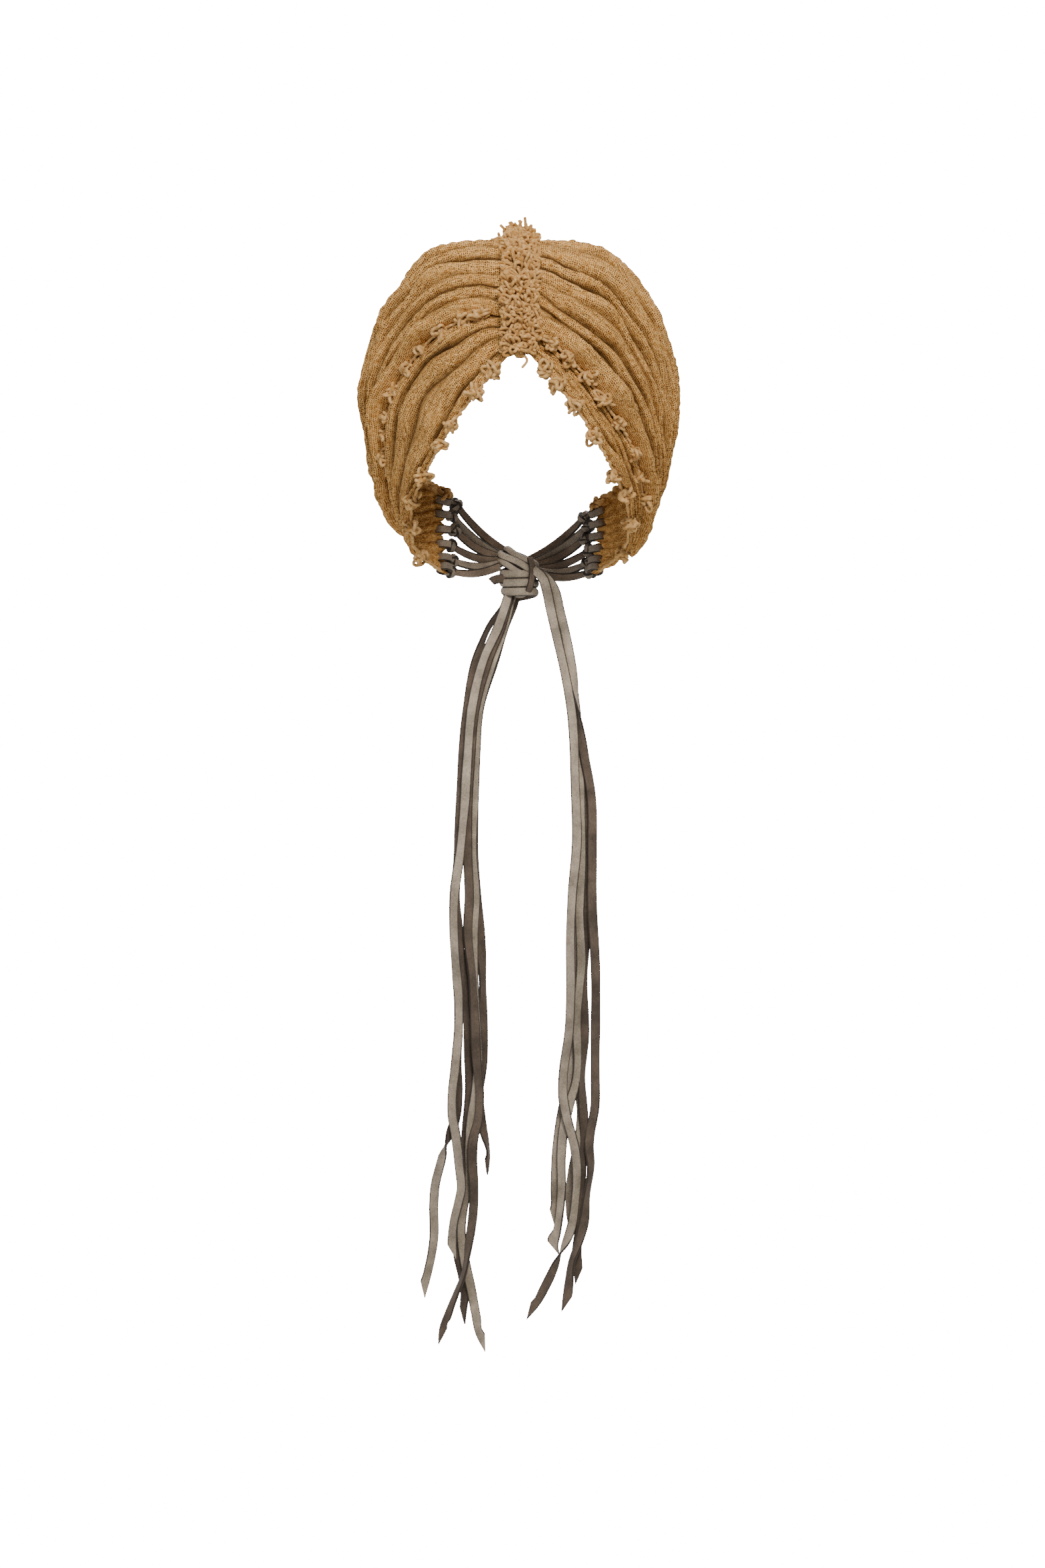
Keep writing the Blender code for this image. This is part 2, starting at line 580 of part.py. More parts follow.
def build_knot():
    """The knot behind the neck: turns coiled round each other, a wrap over them and a stub of lace."""
    bm = bmesh.new()
    turns = 3
    profile = [(0.25, 0.0), (0.78, 0.04)]
    for turn in range(turns):
        low = 0.08 + 0.84 * turn / turns
        high = 0.08 + 0.84 * (turn + 1) / turns
        profile += [(1.0, low + 0.06), (1.0, high - 0.06), (0.86, high)]
    profile += [(0.4, 1.0)]
    sides = 12
    rings = []
    for radius, height in profile:
        rings.append([
            (
                KNOT_RADIUS * radius * math.cos(2 * math.pi * step / sides),
                KNOT_DEPTH / 2 * radius * math.sin(2 * math.pi * step / sides),
                KNOT_HEIGHT * (height - 0.5),
            )
            for step in range(sides)
        ])
    skin(bm, rings)
    bmesh.ops.rotate(bm, cent=(0, 0, 0), matrix=TILT, verts=bm.verts)
    bmesh.ops.translate(bm, vec=Vector(KNOT_CENTRE), verts=bm.verts)
    coil = object_of("lace_knot", mesh_of(bm, "lace_knot"), LEATHER, 0.7)
    bm = bmesh.new()
    top = Vector(KNOT_CENTRE) + Vector((-0.0005, -0.001, KNOT_HEIGHT * 0.56))
    wrap = bmesh.ops.create_uvsphere(bm, u_segments=10, v_segments=6, radius=0.5)
    wrap_size = Vector((KNOT_RADIUS * 2.35, KNOT_DEPTH * 0.95, KNOT_HEIGHT * 0.56))
    bmesh.ops.scale(bm, vec=wrap_size, verts=wrap["verts"])
    bmesh.ops.rotate(bm, cent=(0, 0, 0), matrix=WRAP_TILT, verts=wrap["verts"])
    bmesh.ops.translate(bm, vec=top, verts=wrap["verts"])
    over = object_of("lace_knot_wrap", mesh_of(bm, "lace_knot_wrap"), LEATHER, 0.7)
    bm = bmesh.new()
    stub = bmesh.ops.create_icosphere(bm, subdivisions=1, radius=0.0042)
    bmesh.ops.translate(bm, vec=Vector(KNOT_CENTRE) + Vector((-KNOT_RADIUS * 1.1, 0, 0)), verts=stub["verts"])
    lump = object_of("lace_knot_stub", mesh_of(bm, "lace_knot_stub"), LEATHER, 0.7)
    return combine(combine(coil, over, "UNION"), lump, "UNION")


def smooth_route(points, count):
    """Evenly spaced points on a smooth curve through a few."""
    points = np.asarray(points, float)
    for _ in range(2):
        steps = np.linalg.norm(np.diff(points, axis=0), axis=1)
        reach = np.concatenate(((0,), np.cumsum(steps)))
        points = smooth_between(reach, points, np.linspace(0, reach[-1], 12 * count))
    return points[np.linspace(0, len(points) - 1, count).round().astype(int)]


def build_tails():
    """The free ends of the laces, flat straps hanging below the knot, each at its own depth."""
    outline = bpy.data.curves.new("lace_outline", "CURVE")
    corners = outline.splines.new("POLY")
    corners.points.add(3)
    corners.use_cyclic_u = True
    for point, (x, y) in zip(corners.points, ((1, 1), (1, -1), (-1, -1), (-1, 1))):
        point.co = (LACE_THICKNESS / 2 * x, LACE_WIDTH / 2 * y, 0, 1)
    guide = bpy.data.objects.new("lace_outline", outline)
    bpy.context.collection.objects.link(hide(guide))
    for side, routes in TAIL_ROUTES.items():
        for number, (layer, route) in enumerate(routes, 1):
            name = f"tail_{side}_{number}"
            depth = KNOT_CENTRE[1] + (layer - 0.5 + TAILS_BEHIND[side]) * TAIL_PITCH
            points = smooth_route([(x * MM, depth, z * MM) for x, z in route], TAIL_POINTS)
            curve = bpy.data.curves.new(name, "CURVE")
            curve.dimensions = "3D"
            curve.twist_mode = "MINIMUM"
            curve.bevel_mode = "OBJECT"
            curve.bevel_object = guide
            curve.use_fill_caps = True
            spline = curve.splines.new("POLY")
            spline.points.add(len(points) - 1)
            for held, point in zip(spline.points, points):
                held.co = (*point, 1)
            object_of(name, curve, LEATHER, 0.7)


def build_turban():
    for old in list(bpy.data.objects):
        bpy.data.objects.remove(old)
    columns = np.linspace(-1, 1, COLUMNS + 1)
    under = cloth_layer("under_wrap", columns, under_rows, lambda along: 0.0)
    cut_eyelets(under)
    cloth_layer("over_wrap", OVER_END * columns, over_rows, layer_lift)
    build_band()
    for side in SIGN:
        shares = [share for share in columns if BAND_END < share < 0.99]
        selvage(f"rim_trim_{side}", side, lambda along: 0.0, lambda along: 0.0, RIM_TUFTS[side], shares, 0)
        tufts = OVERLAP_TUFTS[side]
        shares = [share for share in OVER_END * columns if BAND_END < share < tufts[-1] + 0.05]
        selvage(f"overlap_trim_{side}", side, overlap_edge, layer_lift, tufts, shares, 0.32)
        for number in range(len(EYELETS)):
            build_lace(side, number)
    build_knot()
    build_tails()


build_turban()
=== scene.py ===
"""Ochre gauze turban with a looped band and leather laces, in metres, +Z up, front -Y."""

import math

import bmesh
import bpy
import numpy as np
from mathutils import Matrix, Vector


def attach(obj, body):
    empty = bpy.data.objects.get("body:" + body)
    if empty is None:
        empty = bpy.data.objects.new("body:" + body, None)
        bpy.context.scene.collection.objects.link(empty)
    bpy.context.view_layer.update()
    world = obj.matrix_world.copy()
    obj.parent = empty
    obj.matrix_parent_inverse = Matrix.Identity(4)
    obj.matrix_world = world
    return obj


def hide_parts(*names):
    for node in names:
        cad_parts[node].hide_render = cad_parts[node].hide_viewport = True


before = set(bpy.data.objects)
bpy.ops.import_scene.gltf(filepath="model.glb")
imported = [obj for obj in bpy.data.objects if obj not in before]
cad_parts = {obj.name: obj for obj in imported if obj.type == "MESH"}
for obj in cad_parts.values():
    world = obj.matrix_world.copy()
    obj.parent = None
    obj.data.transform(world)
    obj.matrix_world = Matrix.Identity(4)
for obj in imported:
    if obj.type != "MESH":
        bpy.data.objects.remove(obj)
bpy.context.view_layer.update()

# Camera and studio. The camera looks level along +Y from 8 m, as a long lens does in a product photo.
# The surround is white paper, which lights the turban only softly; a large key light stands high in
# front, with a weaker fill light at the left and a light above and behind.
CAMERA_PLACE = (0.0017, -8.0, -0.2356)
CAMERA_LENS = 284.8
PAPER_GLOW = 0.50
PAPER_WHITE = 18.0
FLOOR_LEVEL = -0.79
FLOOR_HALF = 0.58
LIGHTS_AIM = (0, 0, -0.1)
camera_data = bpy.data.cameras.new("camera")
camera_data.sensor_width = 36.0
camera_data.lens = CAMERA_LENS
camera = bpy.data.objects.new("camera", camera_data)
camera.location = CAMERA_PLACE
camera.rotation_euler = (math.radians(90), 0, 0)
bpy.context.collection.objects.link(camera)
bpy.context.scene.camera = camera


def colour(text):
    """An sRGB hex colour as linear red, green, blue and alpha."""
    parts = [int(text[place : place + 2], 16) / 255 for place in (1, 3, 5)]
    linear = [part / 12.92 if part < 0.04045 else ((part + 0.055) / 1.055) ** 2.4 for part in parts]
    return (*linear, 1.0)


def add_node(tree, kind, inputs=None, **settings):
    """A node with its settings, and its sockets given values or linked from other nodes' sockets."""
    node = tree.nodes.new(kind)
    for name, value in settings.items():
        setattr(node, name, value)
    for key, value in (inputs or {}).items():
        if isinstance(value, bpy.types.NodeSocket):
            tree.links.new(value, node.inputs[key])
        else:
            node.inputs[key].default_value = value
    return node


def start_material(name, **values):
    """A material, its node tree and its Principled shader with these constant values."""
    material = bpy.data.materials.new(name)
    material.use_nodes = True
    shader = material.node_tree.nodes["Principled BSDF"]
    for key, value in values.items():
        shader.inputs[key.replace("_", " ")].default_value = value
    return material, material.node_tree, shader


world = bpy.data.worlds.new("paper sweep")
world.use_nodes = True
sweep = world.node_tree
surround = sweep.nodes["Background"]
surround.inputs["Color"].default_value = colour("#FFFDFA")
seen = add_node(sweep, "ShaderNodeLightPath").outputs["Is Camera Ray"]
bright = add_node(sweep, "ShaderNodeMapRange", {0: seen, 3: PAPER_GLOW, 4: PAPER_WHITE}).outputs[0]
sweep.links.new(bright, surround.inputs["Strength"])
bpy.context.scene.world = world
for name, place, size, power, tint in (
    ("key light", (0.5, -2.8, 2.0), 0.8, 128, "#FFF8EE"),
    ("fill light", (-2.4, -1.9, 0.3), 1.8, 24, "#F6F8FF"),
    ("top light", (0.3, 0.9, 1.9), 1.2, 30, "#FFFFFF"),
):
    lamp = bpy.data.lights.new(name, "AREA")
    lamp.size = size
    lamp.energy = power
    lamp.color = colour(tint)[:3]
    light = bpy.data.objects.new(name, lamp)
    light.location = place
    light.rotation_euler = (Vector(LIGHTS_AIM) - Vector(place)).to_track_quat("-Z", "Y").to_euler()
    bpy.context.collection.objects.link(light)
bm = bmesh.new()
bmesh.ops.create_grid(bm, x_segments=1, y_segments=1, size=FLOOR_HALF)
bmesh.ops.translate(bm, verts=bm.verts, vec=(0, 0, FLOOR_LEVEL))
floor_mesh = bpy.data.meshes.new("floor")
bm.to_mesh(floor_mesh)
bm.free()
floor = bpy.data.objects.new("floor", floor_mesh)
floor_mesh.materials.append(start_material("pale paper", Base_Color=colour("#E9E6E0"), Roughness=0.9)[0])
bpy.context.collection.objects.link(floor)

# Free laces: the twelve ends hang below the knot in two bundles, limp straps of taupe leather with a smooth
# grain side and a napped flesh side, cut from hide 1.5 mm thick and slit with dark edges, darkened further
# with painted shade where the strands lie against each other.
# Each is a free cord; the points of its route are the CAD's own, in millimetres, and the two bundles
# also sway a little to front and back as they hang.
MM = 0.001
SIGN = {"left": -1, "right": 1}
LACE_WIDTH = 0.0063
LACE_THICKNESS = 0.0015
KNOT_CENTRE = (-0.0005, 0.070, -0.1045)
TAIL_PITCH = 0.0020
TAILS_BEHIND = {"left": 0.0, "right": -3.4}
TAIL_ROUTES = {
    "left": (
        (0, ((-10, -118), (-20, -133), (-28, -153), (-34, -185), (-37, -218), (-39, -251), (-40, -281),
             (-42, -311), (-40, -330), (-39, -346), (-39, -363), (-40, -396), (-41, -415), (-40, -437),
             (-41, -451), (-45, -462), (-49, -473), (-52, -484), (-55, -496), (-56, -508), (-56, -531),
             (-61, -557), (-65, -570))),
        (-2, ((-9, -118), (-14, -133), (-23, -153), (-31, -185), (-34, -218), (-36, -251), (-39, -281),
              (-43, -311), (-43, -330), (-42, -346), (-40, -376), (-40, -396), (-42, -419), (-44, -437),
              (-44, -451), (-42, -462), (-39, -487), (-38, -498), (-40, -508), (-43, -521), (-44, -535),
              (-44, -546))),
        (-1, ((-8, -118), (-12, -133), (-20, -153), (-29, -185), (-32, -218), (-34, -251), (-34, -281),
              (-33, -311), (-34, -330), (-31, -363), (-29, -396), (-28, -415), (-26, -437), (-27, -454),
              (-30, -465), (-31, -478), (-30, -496), (-30, -508), (-33, -534), (-37, -556), (-41, -566),
              (-46, -579), (-50, -592), (-50, -601))),
        (2, ((-7, -118), (-11, -133), (-18, -153), (-28, -185), (-30, -218), (-31, -251), (-31, -281),
             (-31, -311), (-32, -330), (-35, -363), (-34, -396), (-33, -437), (-34, -454), (-36, -482),
             (-35, -491), (-39, -510), (-42, -519), (-42, -532), (-40, -545), (-37, -556), (-36, -567),
             (-37, -578), (-38, -587))),
        (1, ((-6, -118), (-10, -133), (-17, -153), (-26, -185), (-29, -218), (-30, -251), (-31, -281),
             (-29, -311), (-30, -330), (-30, -363), (-28, -396), (-27, -415), (-29, -437), (-32, -454),
             (-33, -470), (-33, -495), (-36, -508), (-38, -524), (-35, -550), (-32, -563), (-29, -579),
             (-26, -593), (-20, -604))),
        (3, ((-4, -118), (-10, -133), (-16, -153), (-26, -185), (-29, -218), (-30, -251), (-30, -281),
             (-28, -311), (-26, -330), (-25, -346), (-24, -396), (-24, -415), (-26, -437), (-25, -454),
             (-21, -480), (-23, -490))),
    ),
    "right": (
        (2, ((12.8, -99), (18, -103), (19, -107), (23, -122), (27, -140), (31, -162), (35, -184),
             (37, -240), (39, -281), (36, -335), (37, -357), (35, -402), (33, -422), (30, -437),
             (27, -450), (24, -474), (23, -496), (22, -513), (20, -523))),
        (-2, ((8.6, -96), (15, -102), (17, -108), (20, -122), (24, -140), (29, -162), (33, -184),
              (36, -240), (37, -272), (34, -308), (33, -330), (33, -374), (32, -396), (28, -426),
              (28, -439), (30, -450), (36, -474), (37, -489), (36, -504), (32, -528), (26, -541),
              (19, -557), (10, -573), (2, -582))),
        (-1, ((8.6, -96), (18, -102), (22, -108), (26, -123), (30, -140), (34, -162), (37, -184),
              (42, -218), (46, -240), (47, -281), (47, -315), (49, -352), (49, -413), (49, -428),
              (49, -443), (45, -471), (46, -482), (43, -506), (42, -519), (37, -537), (34, -545),
              (32, -559), (30, -579))),
        (1, ((12.2, -99), (18, -103), (20, -109), (24, -124), (29, -140), (33, -162), (36, -184),
             (38, -207), (42, -263), (44, -319), (43, -335), (41, -363), (42, -396), (40, -428),
             (41, -445), (42, -463), (41, -480), (39, -508), (39, -521), (37, -541), (38, -552),
             (39, -561))),
        (0, ((10.4, -98), (18, -103), (21, -109), (25, -124), (29, -140), (32, -162), (36, -184),
             (37, -207), (39, -240), (40, -281), (39, -319), (40, -350), (37, -385), (36, -430),
             (31, -448), (28, -463), (27, -476), (27, -502), (24, -527), (22, -536), (23, -543))),
        (3, ((13.4, -99), (18, -103), (20, -108), (23, -123), (28, -140), (32, -162), (35, -184),
             (36, -207), (39, -263), (40, -281), (38, -319), (40, -363), (37, -415), (38, -432),
             (40, -448), (39, -463), (34, -489), (32, -502), (33, -515), (36, -527))),
    ),
}
LACE_POINTS = 150
BUNDLE_TOP = -0.150
BUNDLE_MIDDLE = 0.035
BUNDLE_SWAY = 0.0035
BUNDLE_LEAN = 0.30
CURL_TOP = -0.28
LACE_CURL = 0.75
LACE_CUT = 0.011
START_IN_KNOT = (1.6, 5.5)
# Which laces show their flesh side, and where one turns over: share of its length, degrees of turn
FLESH_OUT = {"left": (1, 0, 1, 1, 0, 1), "right": (0, 0, 0, 1, 0, 0)}
TURNS = {
    ("left", 1): ((0.0, 62), (0.07, 62), (0.15, 0), (0.74, 0), (0.80, 170), (1.0, 190)),
    ("left", 3): ((0.0, 0), (0.82, 0), (0.88, -35), (1.0, -15)),
    ("left", 6): ((0.0, 0), (0.86, 0), (0.95, 40), (1.0, 50)),
    ("right", 1): ((0.0, 0), (0.88, 0), (0.96, 38), (1.0, 45)),
    ("right", 2): ((0.0, 0), (0.87, 0), (0.94, -160), (1.0, -185)),
    ("right", 3): ((0.0, 0), (0.14, 0), (0.26, 180), (1.0, 180)),
}
STRAP_PROFILE = np.array((
    (-0.50, 0.0), (-0.47, 0.42), (-0.3, 0.50), (0.0, 0.50), (0.3, 0.50), (0.47, 0.42),
    (0.50, 0.0), (0.47, -0.42), (0.3, -0.50), (0.0, -0.50), (-0.3, -0.50), (-0.47, -0.42),
))


def smooth_between(knots, values, at):
    """Values on a smooth curve through the knots, each with the slope that its neighbours give it."""
    knots = np.asarray(knots, float)
    values = np.asarray(values, float)
    slopes = np.gradient(values, knots, axis=0)
    at = np.clip(np.asarray(at, float), knots[0], knots[-1])
    low = np.clip(np.searchsorted(knots, at, side="right") - 1, 0, len(knots) - 2)
    span = knots[low + 1] - knots[low]
    share = (at - knots[low]) / span
    if values.ndim > 1:
        share = share[..., None]
        span = span[..., None]
    return (
        values[low] * (2 * share**3 - 3 * share**2 + 1)
        + values[low + 1] * (3 * share**2 - 2 * share**3)
        + slopes[low] * span * (share**3 - 2 * share**2 + share)
        + slopes[low + 1] * span * (share**3 - share**2)
    )


def smooth_route(points, count):
    """Evenly spaced points on a smooth curve through a few."""
    points = np.asarray(points, float)
    for _ in range(2):
        steps = np.linalg.norm(np.diff(points, axis=0), axis=1)
        reach = np.concatenate(((0,), np.cumsum(steps)))
        points = smooth_between(reach, points, np.linspace(0, reach[-1], 12 * count))
    return points[np.linspace(0, len(points) - 1, count).round().astype(int)]


def unit(vectors):
    """The vectors at length 1."""
    return vectors / np.maximum(np.linalg.norm(vectors, axis=-1, keepdims=True), 1e-12)


def wander(seed, at, waves):
    """Smooth random values of about -1 to 1, with up to that many waves over a length of 1."""
    random = np.random.default_rng(seed)
    rates = random.uniform(0.3, 1, 5) * waves
    turns = random.uniform(0, 2 * math.pi, 5)
    return np.sin(2 * math.pi * np.multiply.outer(np.asarray(at, float), rates) + turns).mean(axis=-1) * 1.6


def mesh_of(bm, name):
    """A smooth-shaded mesh with its faces outwards, the bmesh freed."""
    bmesh.ops.recalc_face_normals(bm, faces=bm.faces)
    if bm.calc_volume(signed=True) < 0:
        bmesh.ops.reverse_faces(bm, faces=bm.faces)
    mesh = bpy.data.meshes.new(name)
    bm.to_mesh(mesh)
    bm.free()
    mesh.shade_smooth()
    return mesh


def swept(path, facing, widths, thickness, closed=False, flesh=0.0, slant=0.0, profile=STRAP_PROFILE):
    """A strap along a path, its front towards facing, with the places on it as attributes."""
    path = np.asarray(path, float)
    ways = np.roll(path, -1, 0) - np.roll(path, 1, 0) if closed else np.gradient(path, axis=0)
    ways = unit(ways)
    across = unit(np.cross(ways, np.broadcast_to(facing, path.shape)))
    up = np.cross(across, ways)
    run = np.concatenate(((0,), np.cumsum(np.linalg.norm(np.diff(path, axis=0), axis=1))))
    wide = np.broadcast_to(widths, len(path))[:, None, None]
    x, y = profile.T
    reach = 2.2 * abs(slant)
    cut = np.clip((run - run[-1] + reach) / (reach + 1e-9), 0, 1)[:, None]
    cut = cut * (x[None, :] * math.copysign(1, slant) - 0.5) * abs(slant)
    rings = path[:, None] + across[:, None] * wide * x[None, :, None]
    rings = rings + up[:, None] * thickness * y[None, :, None]
    rings = rings + ways[:, None] * cut[:, :, None]
    corners = len(profile)
    rows = len(path) + closed
    bm = bmesh.new()
    layers = {name: bm.verts.layers.float.new(name) for name in ("across", "flesh")}
    bmesh.ops.create_grid(bm, x_segments=corners, y_segments=rows - 1, size=0.5)
    for vert in bm.verts:
        corner = round((vert.co.x + 0.5) * corners) % corners
        ring = round((vert.co.y + 0.5) * (rows - 1)) % len(path)
        vert.co = Vector(rings[ring, corner])
        vert[layers["across"]] = x[corner] * 2
        vert[layers["flesh"]] = flesh if y[corner] > 0.1 else (1 - flesh if y[corner] < -0.1 else 0.5)
    bmesh.ops.remove_doubles(bm, verts=bm.verts, dist=1e-7)
    if not closed:
        bmesh.ops.holes_fill(bm, edges=bm.edges[:], sides=0)
    return mesh_of(bm, "strap")


def piece(name, meshes, material, slot, *nodes):
    """One piece from a few meshes, riding on the turban in place of these CAD nodes."""
    made = []
    for mesh in meshes:
        mesh.materials.clear()
        mesh.materials.append(material)
        made.append(bpy.data.objects.new(name, mesh))
        bpy.context.collection.objects.link(made[-1])
    if len(made) > 1:
        with bpy.context.temp_override(active_object=made[0], selected_editable_objects=made):
            bpy.ops.object.join()
    made[0].name = name
    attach(made[0], "root")
    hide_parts(*nodes)
    return made[0]


def noise(tree, place, scale, detail):
    """Cloudy noise of 0 to 1, with this many waves to the metre."""
    inputs = {"Vector": place, "Scale": scale, "Detail": detail}
    return add_node(tree, "ShaderNodeTexNoise", inputs).outputs["Fac"]


def maths(tree, operation, *values, kind="ShaderNodeMath"):
    """Values or outputs put through one operation."""
    return add_node(tree, kind, dict(enumerate(values)), operation=operation).outputs[0]


def ramp(tree, value, low, high, first=0.0, second=1.0, kind="LINEAR"):
    """The value's range from low to high, spread from first to second."""
    inputs = {0: value, 1: low, 2: high, 3: first, 4: second}
    return add_node(tree, "ShaderNodeMapRange", inputs, interpolation_type=kind).outputs[0]


def blend(tree, share, first, second):
    """A mix of two colours, each a hex colour or an output."""
    first, second = (colour(one) if isinstance(one, str) else one for one in (first, second))
    return add_node(tree, "ShaderNodeMix", {0: share, 6: first, 7: second}, data_type="RGBA").outputs[2]


def scaled(tree, vector, scale):
    """A colour or vector times a number."""
    inputs = {0: vector, "Scale": scale}
    return add_node(tree, "ShaderNodeVectorMath", inputs, operation="SCALE").outputs[0]


def attribute(tree, name):
    """A value kept on the mesh's points."""
    return add_node(tree, "ShaderNodeAttribute", attribute_name=name).outputs["Fac"]


def skin_over(tree, shader, base, relief, strength, depth):
    """Link the base colour and the relief, which is this many metres deep."""
    tree.links.new(base, shader.inputs["Base Color"])
    bump = add_node(tree, "ShaderNodeBump", {"Height": relief, "Strength": strength, "Distance": depth})
    tree.links.new(bump.outputs[0], shader.inputs["Normal"])


def leather(name, grain, suede, edge):
    """Lace leather: pebbled grain on one side, napped fibres on the other, dark slit edges darkened further
    with painted shade.
    """
    material, tree, shader = start_material(
        name, Specular_IOR_Level=0.35, Sheen_Weight=0.12, Sheen_Roughness=0.5
    )
    place = add_node(tree, "ShaderNodeTexCoord").outputs["Object"]
    drawn_out = add_node(tree, "ShaderNodeMapping", {"Vector": place, "Scale": (1, 1, 0.35)}).outputs[0]
    pebble = add_node(tree, "ShaderNodeTexVoronoi", {"Vector": place, "Scale": 1500}, feature="F1")
    creases = noise(tree, drawn_out, 420, 5)
    nap = noise(tree, drawn_out, 1900, 4)
    side = ramp(tree, attribute(tree, "flesh"), 0.35, 0.65, kind="SMOOTHSTEP")
    skin = blend(tree, side, grain, suede)
    worn = ramp(tree, noise(tree, place, 70, 4), 0.35, 0.68, 0.62, 1.25)
    speck = ramp(tree, nap, 0.3, 0.7, 0.72, 1.18)
    level = add_node(tree, "ShaderNodeSeparateXYZ", {0: place}).outputs["Z"]
    darker_below = ramp(tree, level, -0.40, -0.16, 0.68, 1.0)
    shade = maths(tree, "MULTIPLY", maths(tree, "MULTIPLY", worn, speck), darker_below)
    skin = scaled(tree, skin, shade)
    # Dark cut edges, darkened further with painted shade between the strands.
    far = maths(tree, "ABSOLUTE", attribute(tree, "across"))
    ragged_edge_and_shade = maths(tree, "MULTIPLY_ADD", creases, 0.16, far)
    skin = blend(tree, ramp(tree, ragged_edge_and_shade, 0.80, 0.98, kind="SMOOTHSTEP"), skin, edge)
    tree.links.new(ramp(tree, side, 0, 1, 0.5, 0.95), shader.inputs["Roughness"])
    relief = add_node(tree, "ShaderNodeMix", {0: side, 2: pebble.outputs["Distance"], 3: nap}).outputs[0]
    skin_over(tree, shader, skin, maths(tree, "MULTIPLY_ADD", creases, 1.4, relief), 0.7, 0.0003)
    return material


lace_leather = leather("taupe lace leather", "#A89B89", "#62554A", "#2C241E")
for side, routes in TAIL_ROUTES.items():
    for number, (layer, route) in enumerate(routes, 1):
        depth = KNOT_CENTRE[1] + (layer - 0.5 + TAILS_BEHIND[side]) * TAIL_PITCH
        if side == "left":
            route = ((route[0][0] + START_IN_KNOT[0], route[0][1] + START_IN_KNOT[1]), *route)
        path = smooth_route([(x * MM, depth, z * MM) for x, z in route], LACE_POINTS)
        share = np.linspace(0, 1, len(path))
        free = np.clip((BUNDLE_TOP - path[:, 2]) / 0.12, 0, 1)
        lean = BUNDLE_LEAN * free * wander(len(side), path[:, 2] * 2, 3)
        path[:, 1] += BUNDLE_SWAY * free * wander(40 + len(side), path[:, 2] * 2, 3)
        path[:, 1] += (path[:, 0] - SIGN[side] * BUNDLE_MIDDLE) * np.tan(lean)
        turned = np.radians(np.interp(share, *zip(*TURNS.get((side, number), ((0, 0), (1, 0)))))) + lean
        curled = np.clip((CURL_TOP - path[:, 2]) / 0.08, 0, 1)
        turned += LACE_CURL * curled * wander(number * 7 + len(side), share, 7)
        facing = np.stack((np.sin(turned), -np.cos(turned), 0 * turned), axis=1)
        widths = LACE_WIDTH * (1 + 0.06 * wander(number + 10 * len(side), share, 9))
        slant = LACE_CUT * (1 if (number + len(side)) % 2 else -1)
        flesh = float(FLESH_OUT[side][number - 1])
        strap = swept(path, facing, widths, LACE_THICKNESS, flesh=flesh, slant=slant)
        name = f"free_lace_{side}_{number}"
        tail = piece(name, [strap], lace_leather, "lace_leather", f"tail_{side}_{number}")

# Under layer and over layer: one long ochre cotton gauze wound over the head, its fullness laid in deep
# pleats that fan from the band and are gathered at each end behind the ear. The shape's tables are the
# CAD's own; the cloth is an open plain weave of slubby yarn, 1.4 mm from thread to thread.
HALF_WIDTH = 0.092
HALF_DEPTH = 0.092
CROWN_HEIGHT = 0.103
LAYER_LIFT = 0.0056
LAYER_LIFT_AT_END = 0.0040
UNDER_PUFF = 0.0031
OVER_PUFF = 0.0042
SECTION_WEIGHT = 0.66
FULL_PLEAT = 0.055
BAND_END = 0.135
OVER_END = 0.93
UNDER_MARGIN = 0.10
GAUZE_WALL = 0.0009
STATIONS = (
    # along  rim x, y, z            middle x, y, z         rear x, y, z
    (0.00, (0.00, -1.00, 0.41), (0.00, -0.09, 1.035), (0.00, 0.83, 0.64)),
    (0.12, (0.14, -0.99, 0.31), (0.29, -0.09, 1.035), (0.26, 0.85, 0.62)),
    (0.25, (0.28, -0.95, 0.17), (0.565, -0.04, 0.93), (0.50, 0.85, 0.54)),
    (0.40, (0.43, -0.85, 0.00), (0.775, 0.02, 0.65), (0.68, 0.80, 0.38)),
    (0.55, (0.55, -0.72, -0.17), (0.935, 0.10, 0.25), (0.85, 0.74, 0.16)),
    (0.70, (0.66, -0.52, -0.35), (0.945, 0.17, -0.16), (0.88, 0.70, -0.08)),
    (0.82, (0.76, -0.15, -0.56), (0.89, 0.33, -0.48), (0.85, 0.67, -0.23)),
    (0.92, (0.73, 0.24, -0.82), (0.76, 0.52, -0.70), (0.71, 0.67, -0.37)),
    (1.00, (0.52, 0.61, -0.96), (0.53, 0.67, -0.73), (0.52, 0.66, -0.46)),
)
END_DROP = {"left": 0.00, "right": 0.08}
CREASE_PLACES = (0.0, 0.25, 0.5, 0.75, 1.0)
UNDER_CREASES = {
    "left": (
        # at the band, brow, side, ear, end   depth
        ((0.000, 0.000, 0.000, 0.000, 0.00), 0.8),
        ((0.045, 0.033, 0.022, 0.035, 0.10), 1.0),
        ((0.075, 0.095, 0.150, 0.200, 0.26), 0.7),
        ((0.100, 0.150, 0.255, 0.330, 0.40), 0.9),
        ((0.125, 0.200, 0.310, 0.430, 0.50), 1.0),
    ),
    "right": (
        ((0.000, 0.000, 0.000, 0.000, 0.00), 0.8),
        ((0.022, 0.026, 0.030, 0.055, 0.09), 0.7),
        ((0.042, 0.044, 0.056, 0.105, 0.17), 0.5),
        ((0.058, 0.062, 0.080, 0.155, 0.24), 0.8),
        ((0.075, 0.080, 0.105, 0.205, 0.30), 1.0),
    ),
}
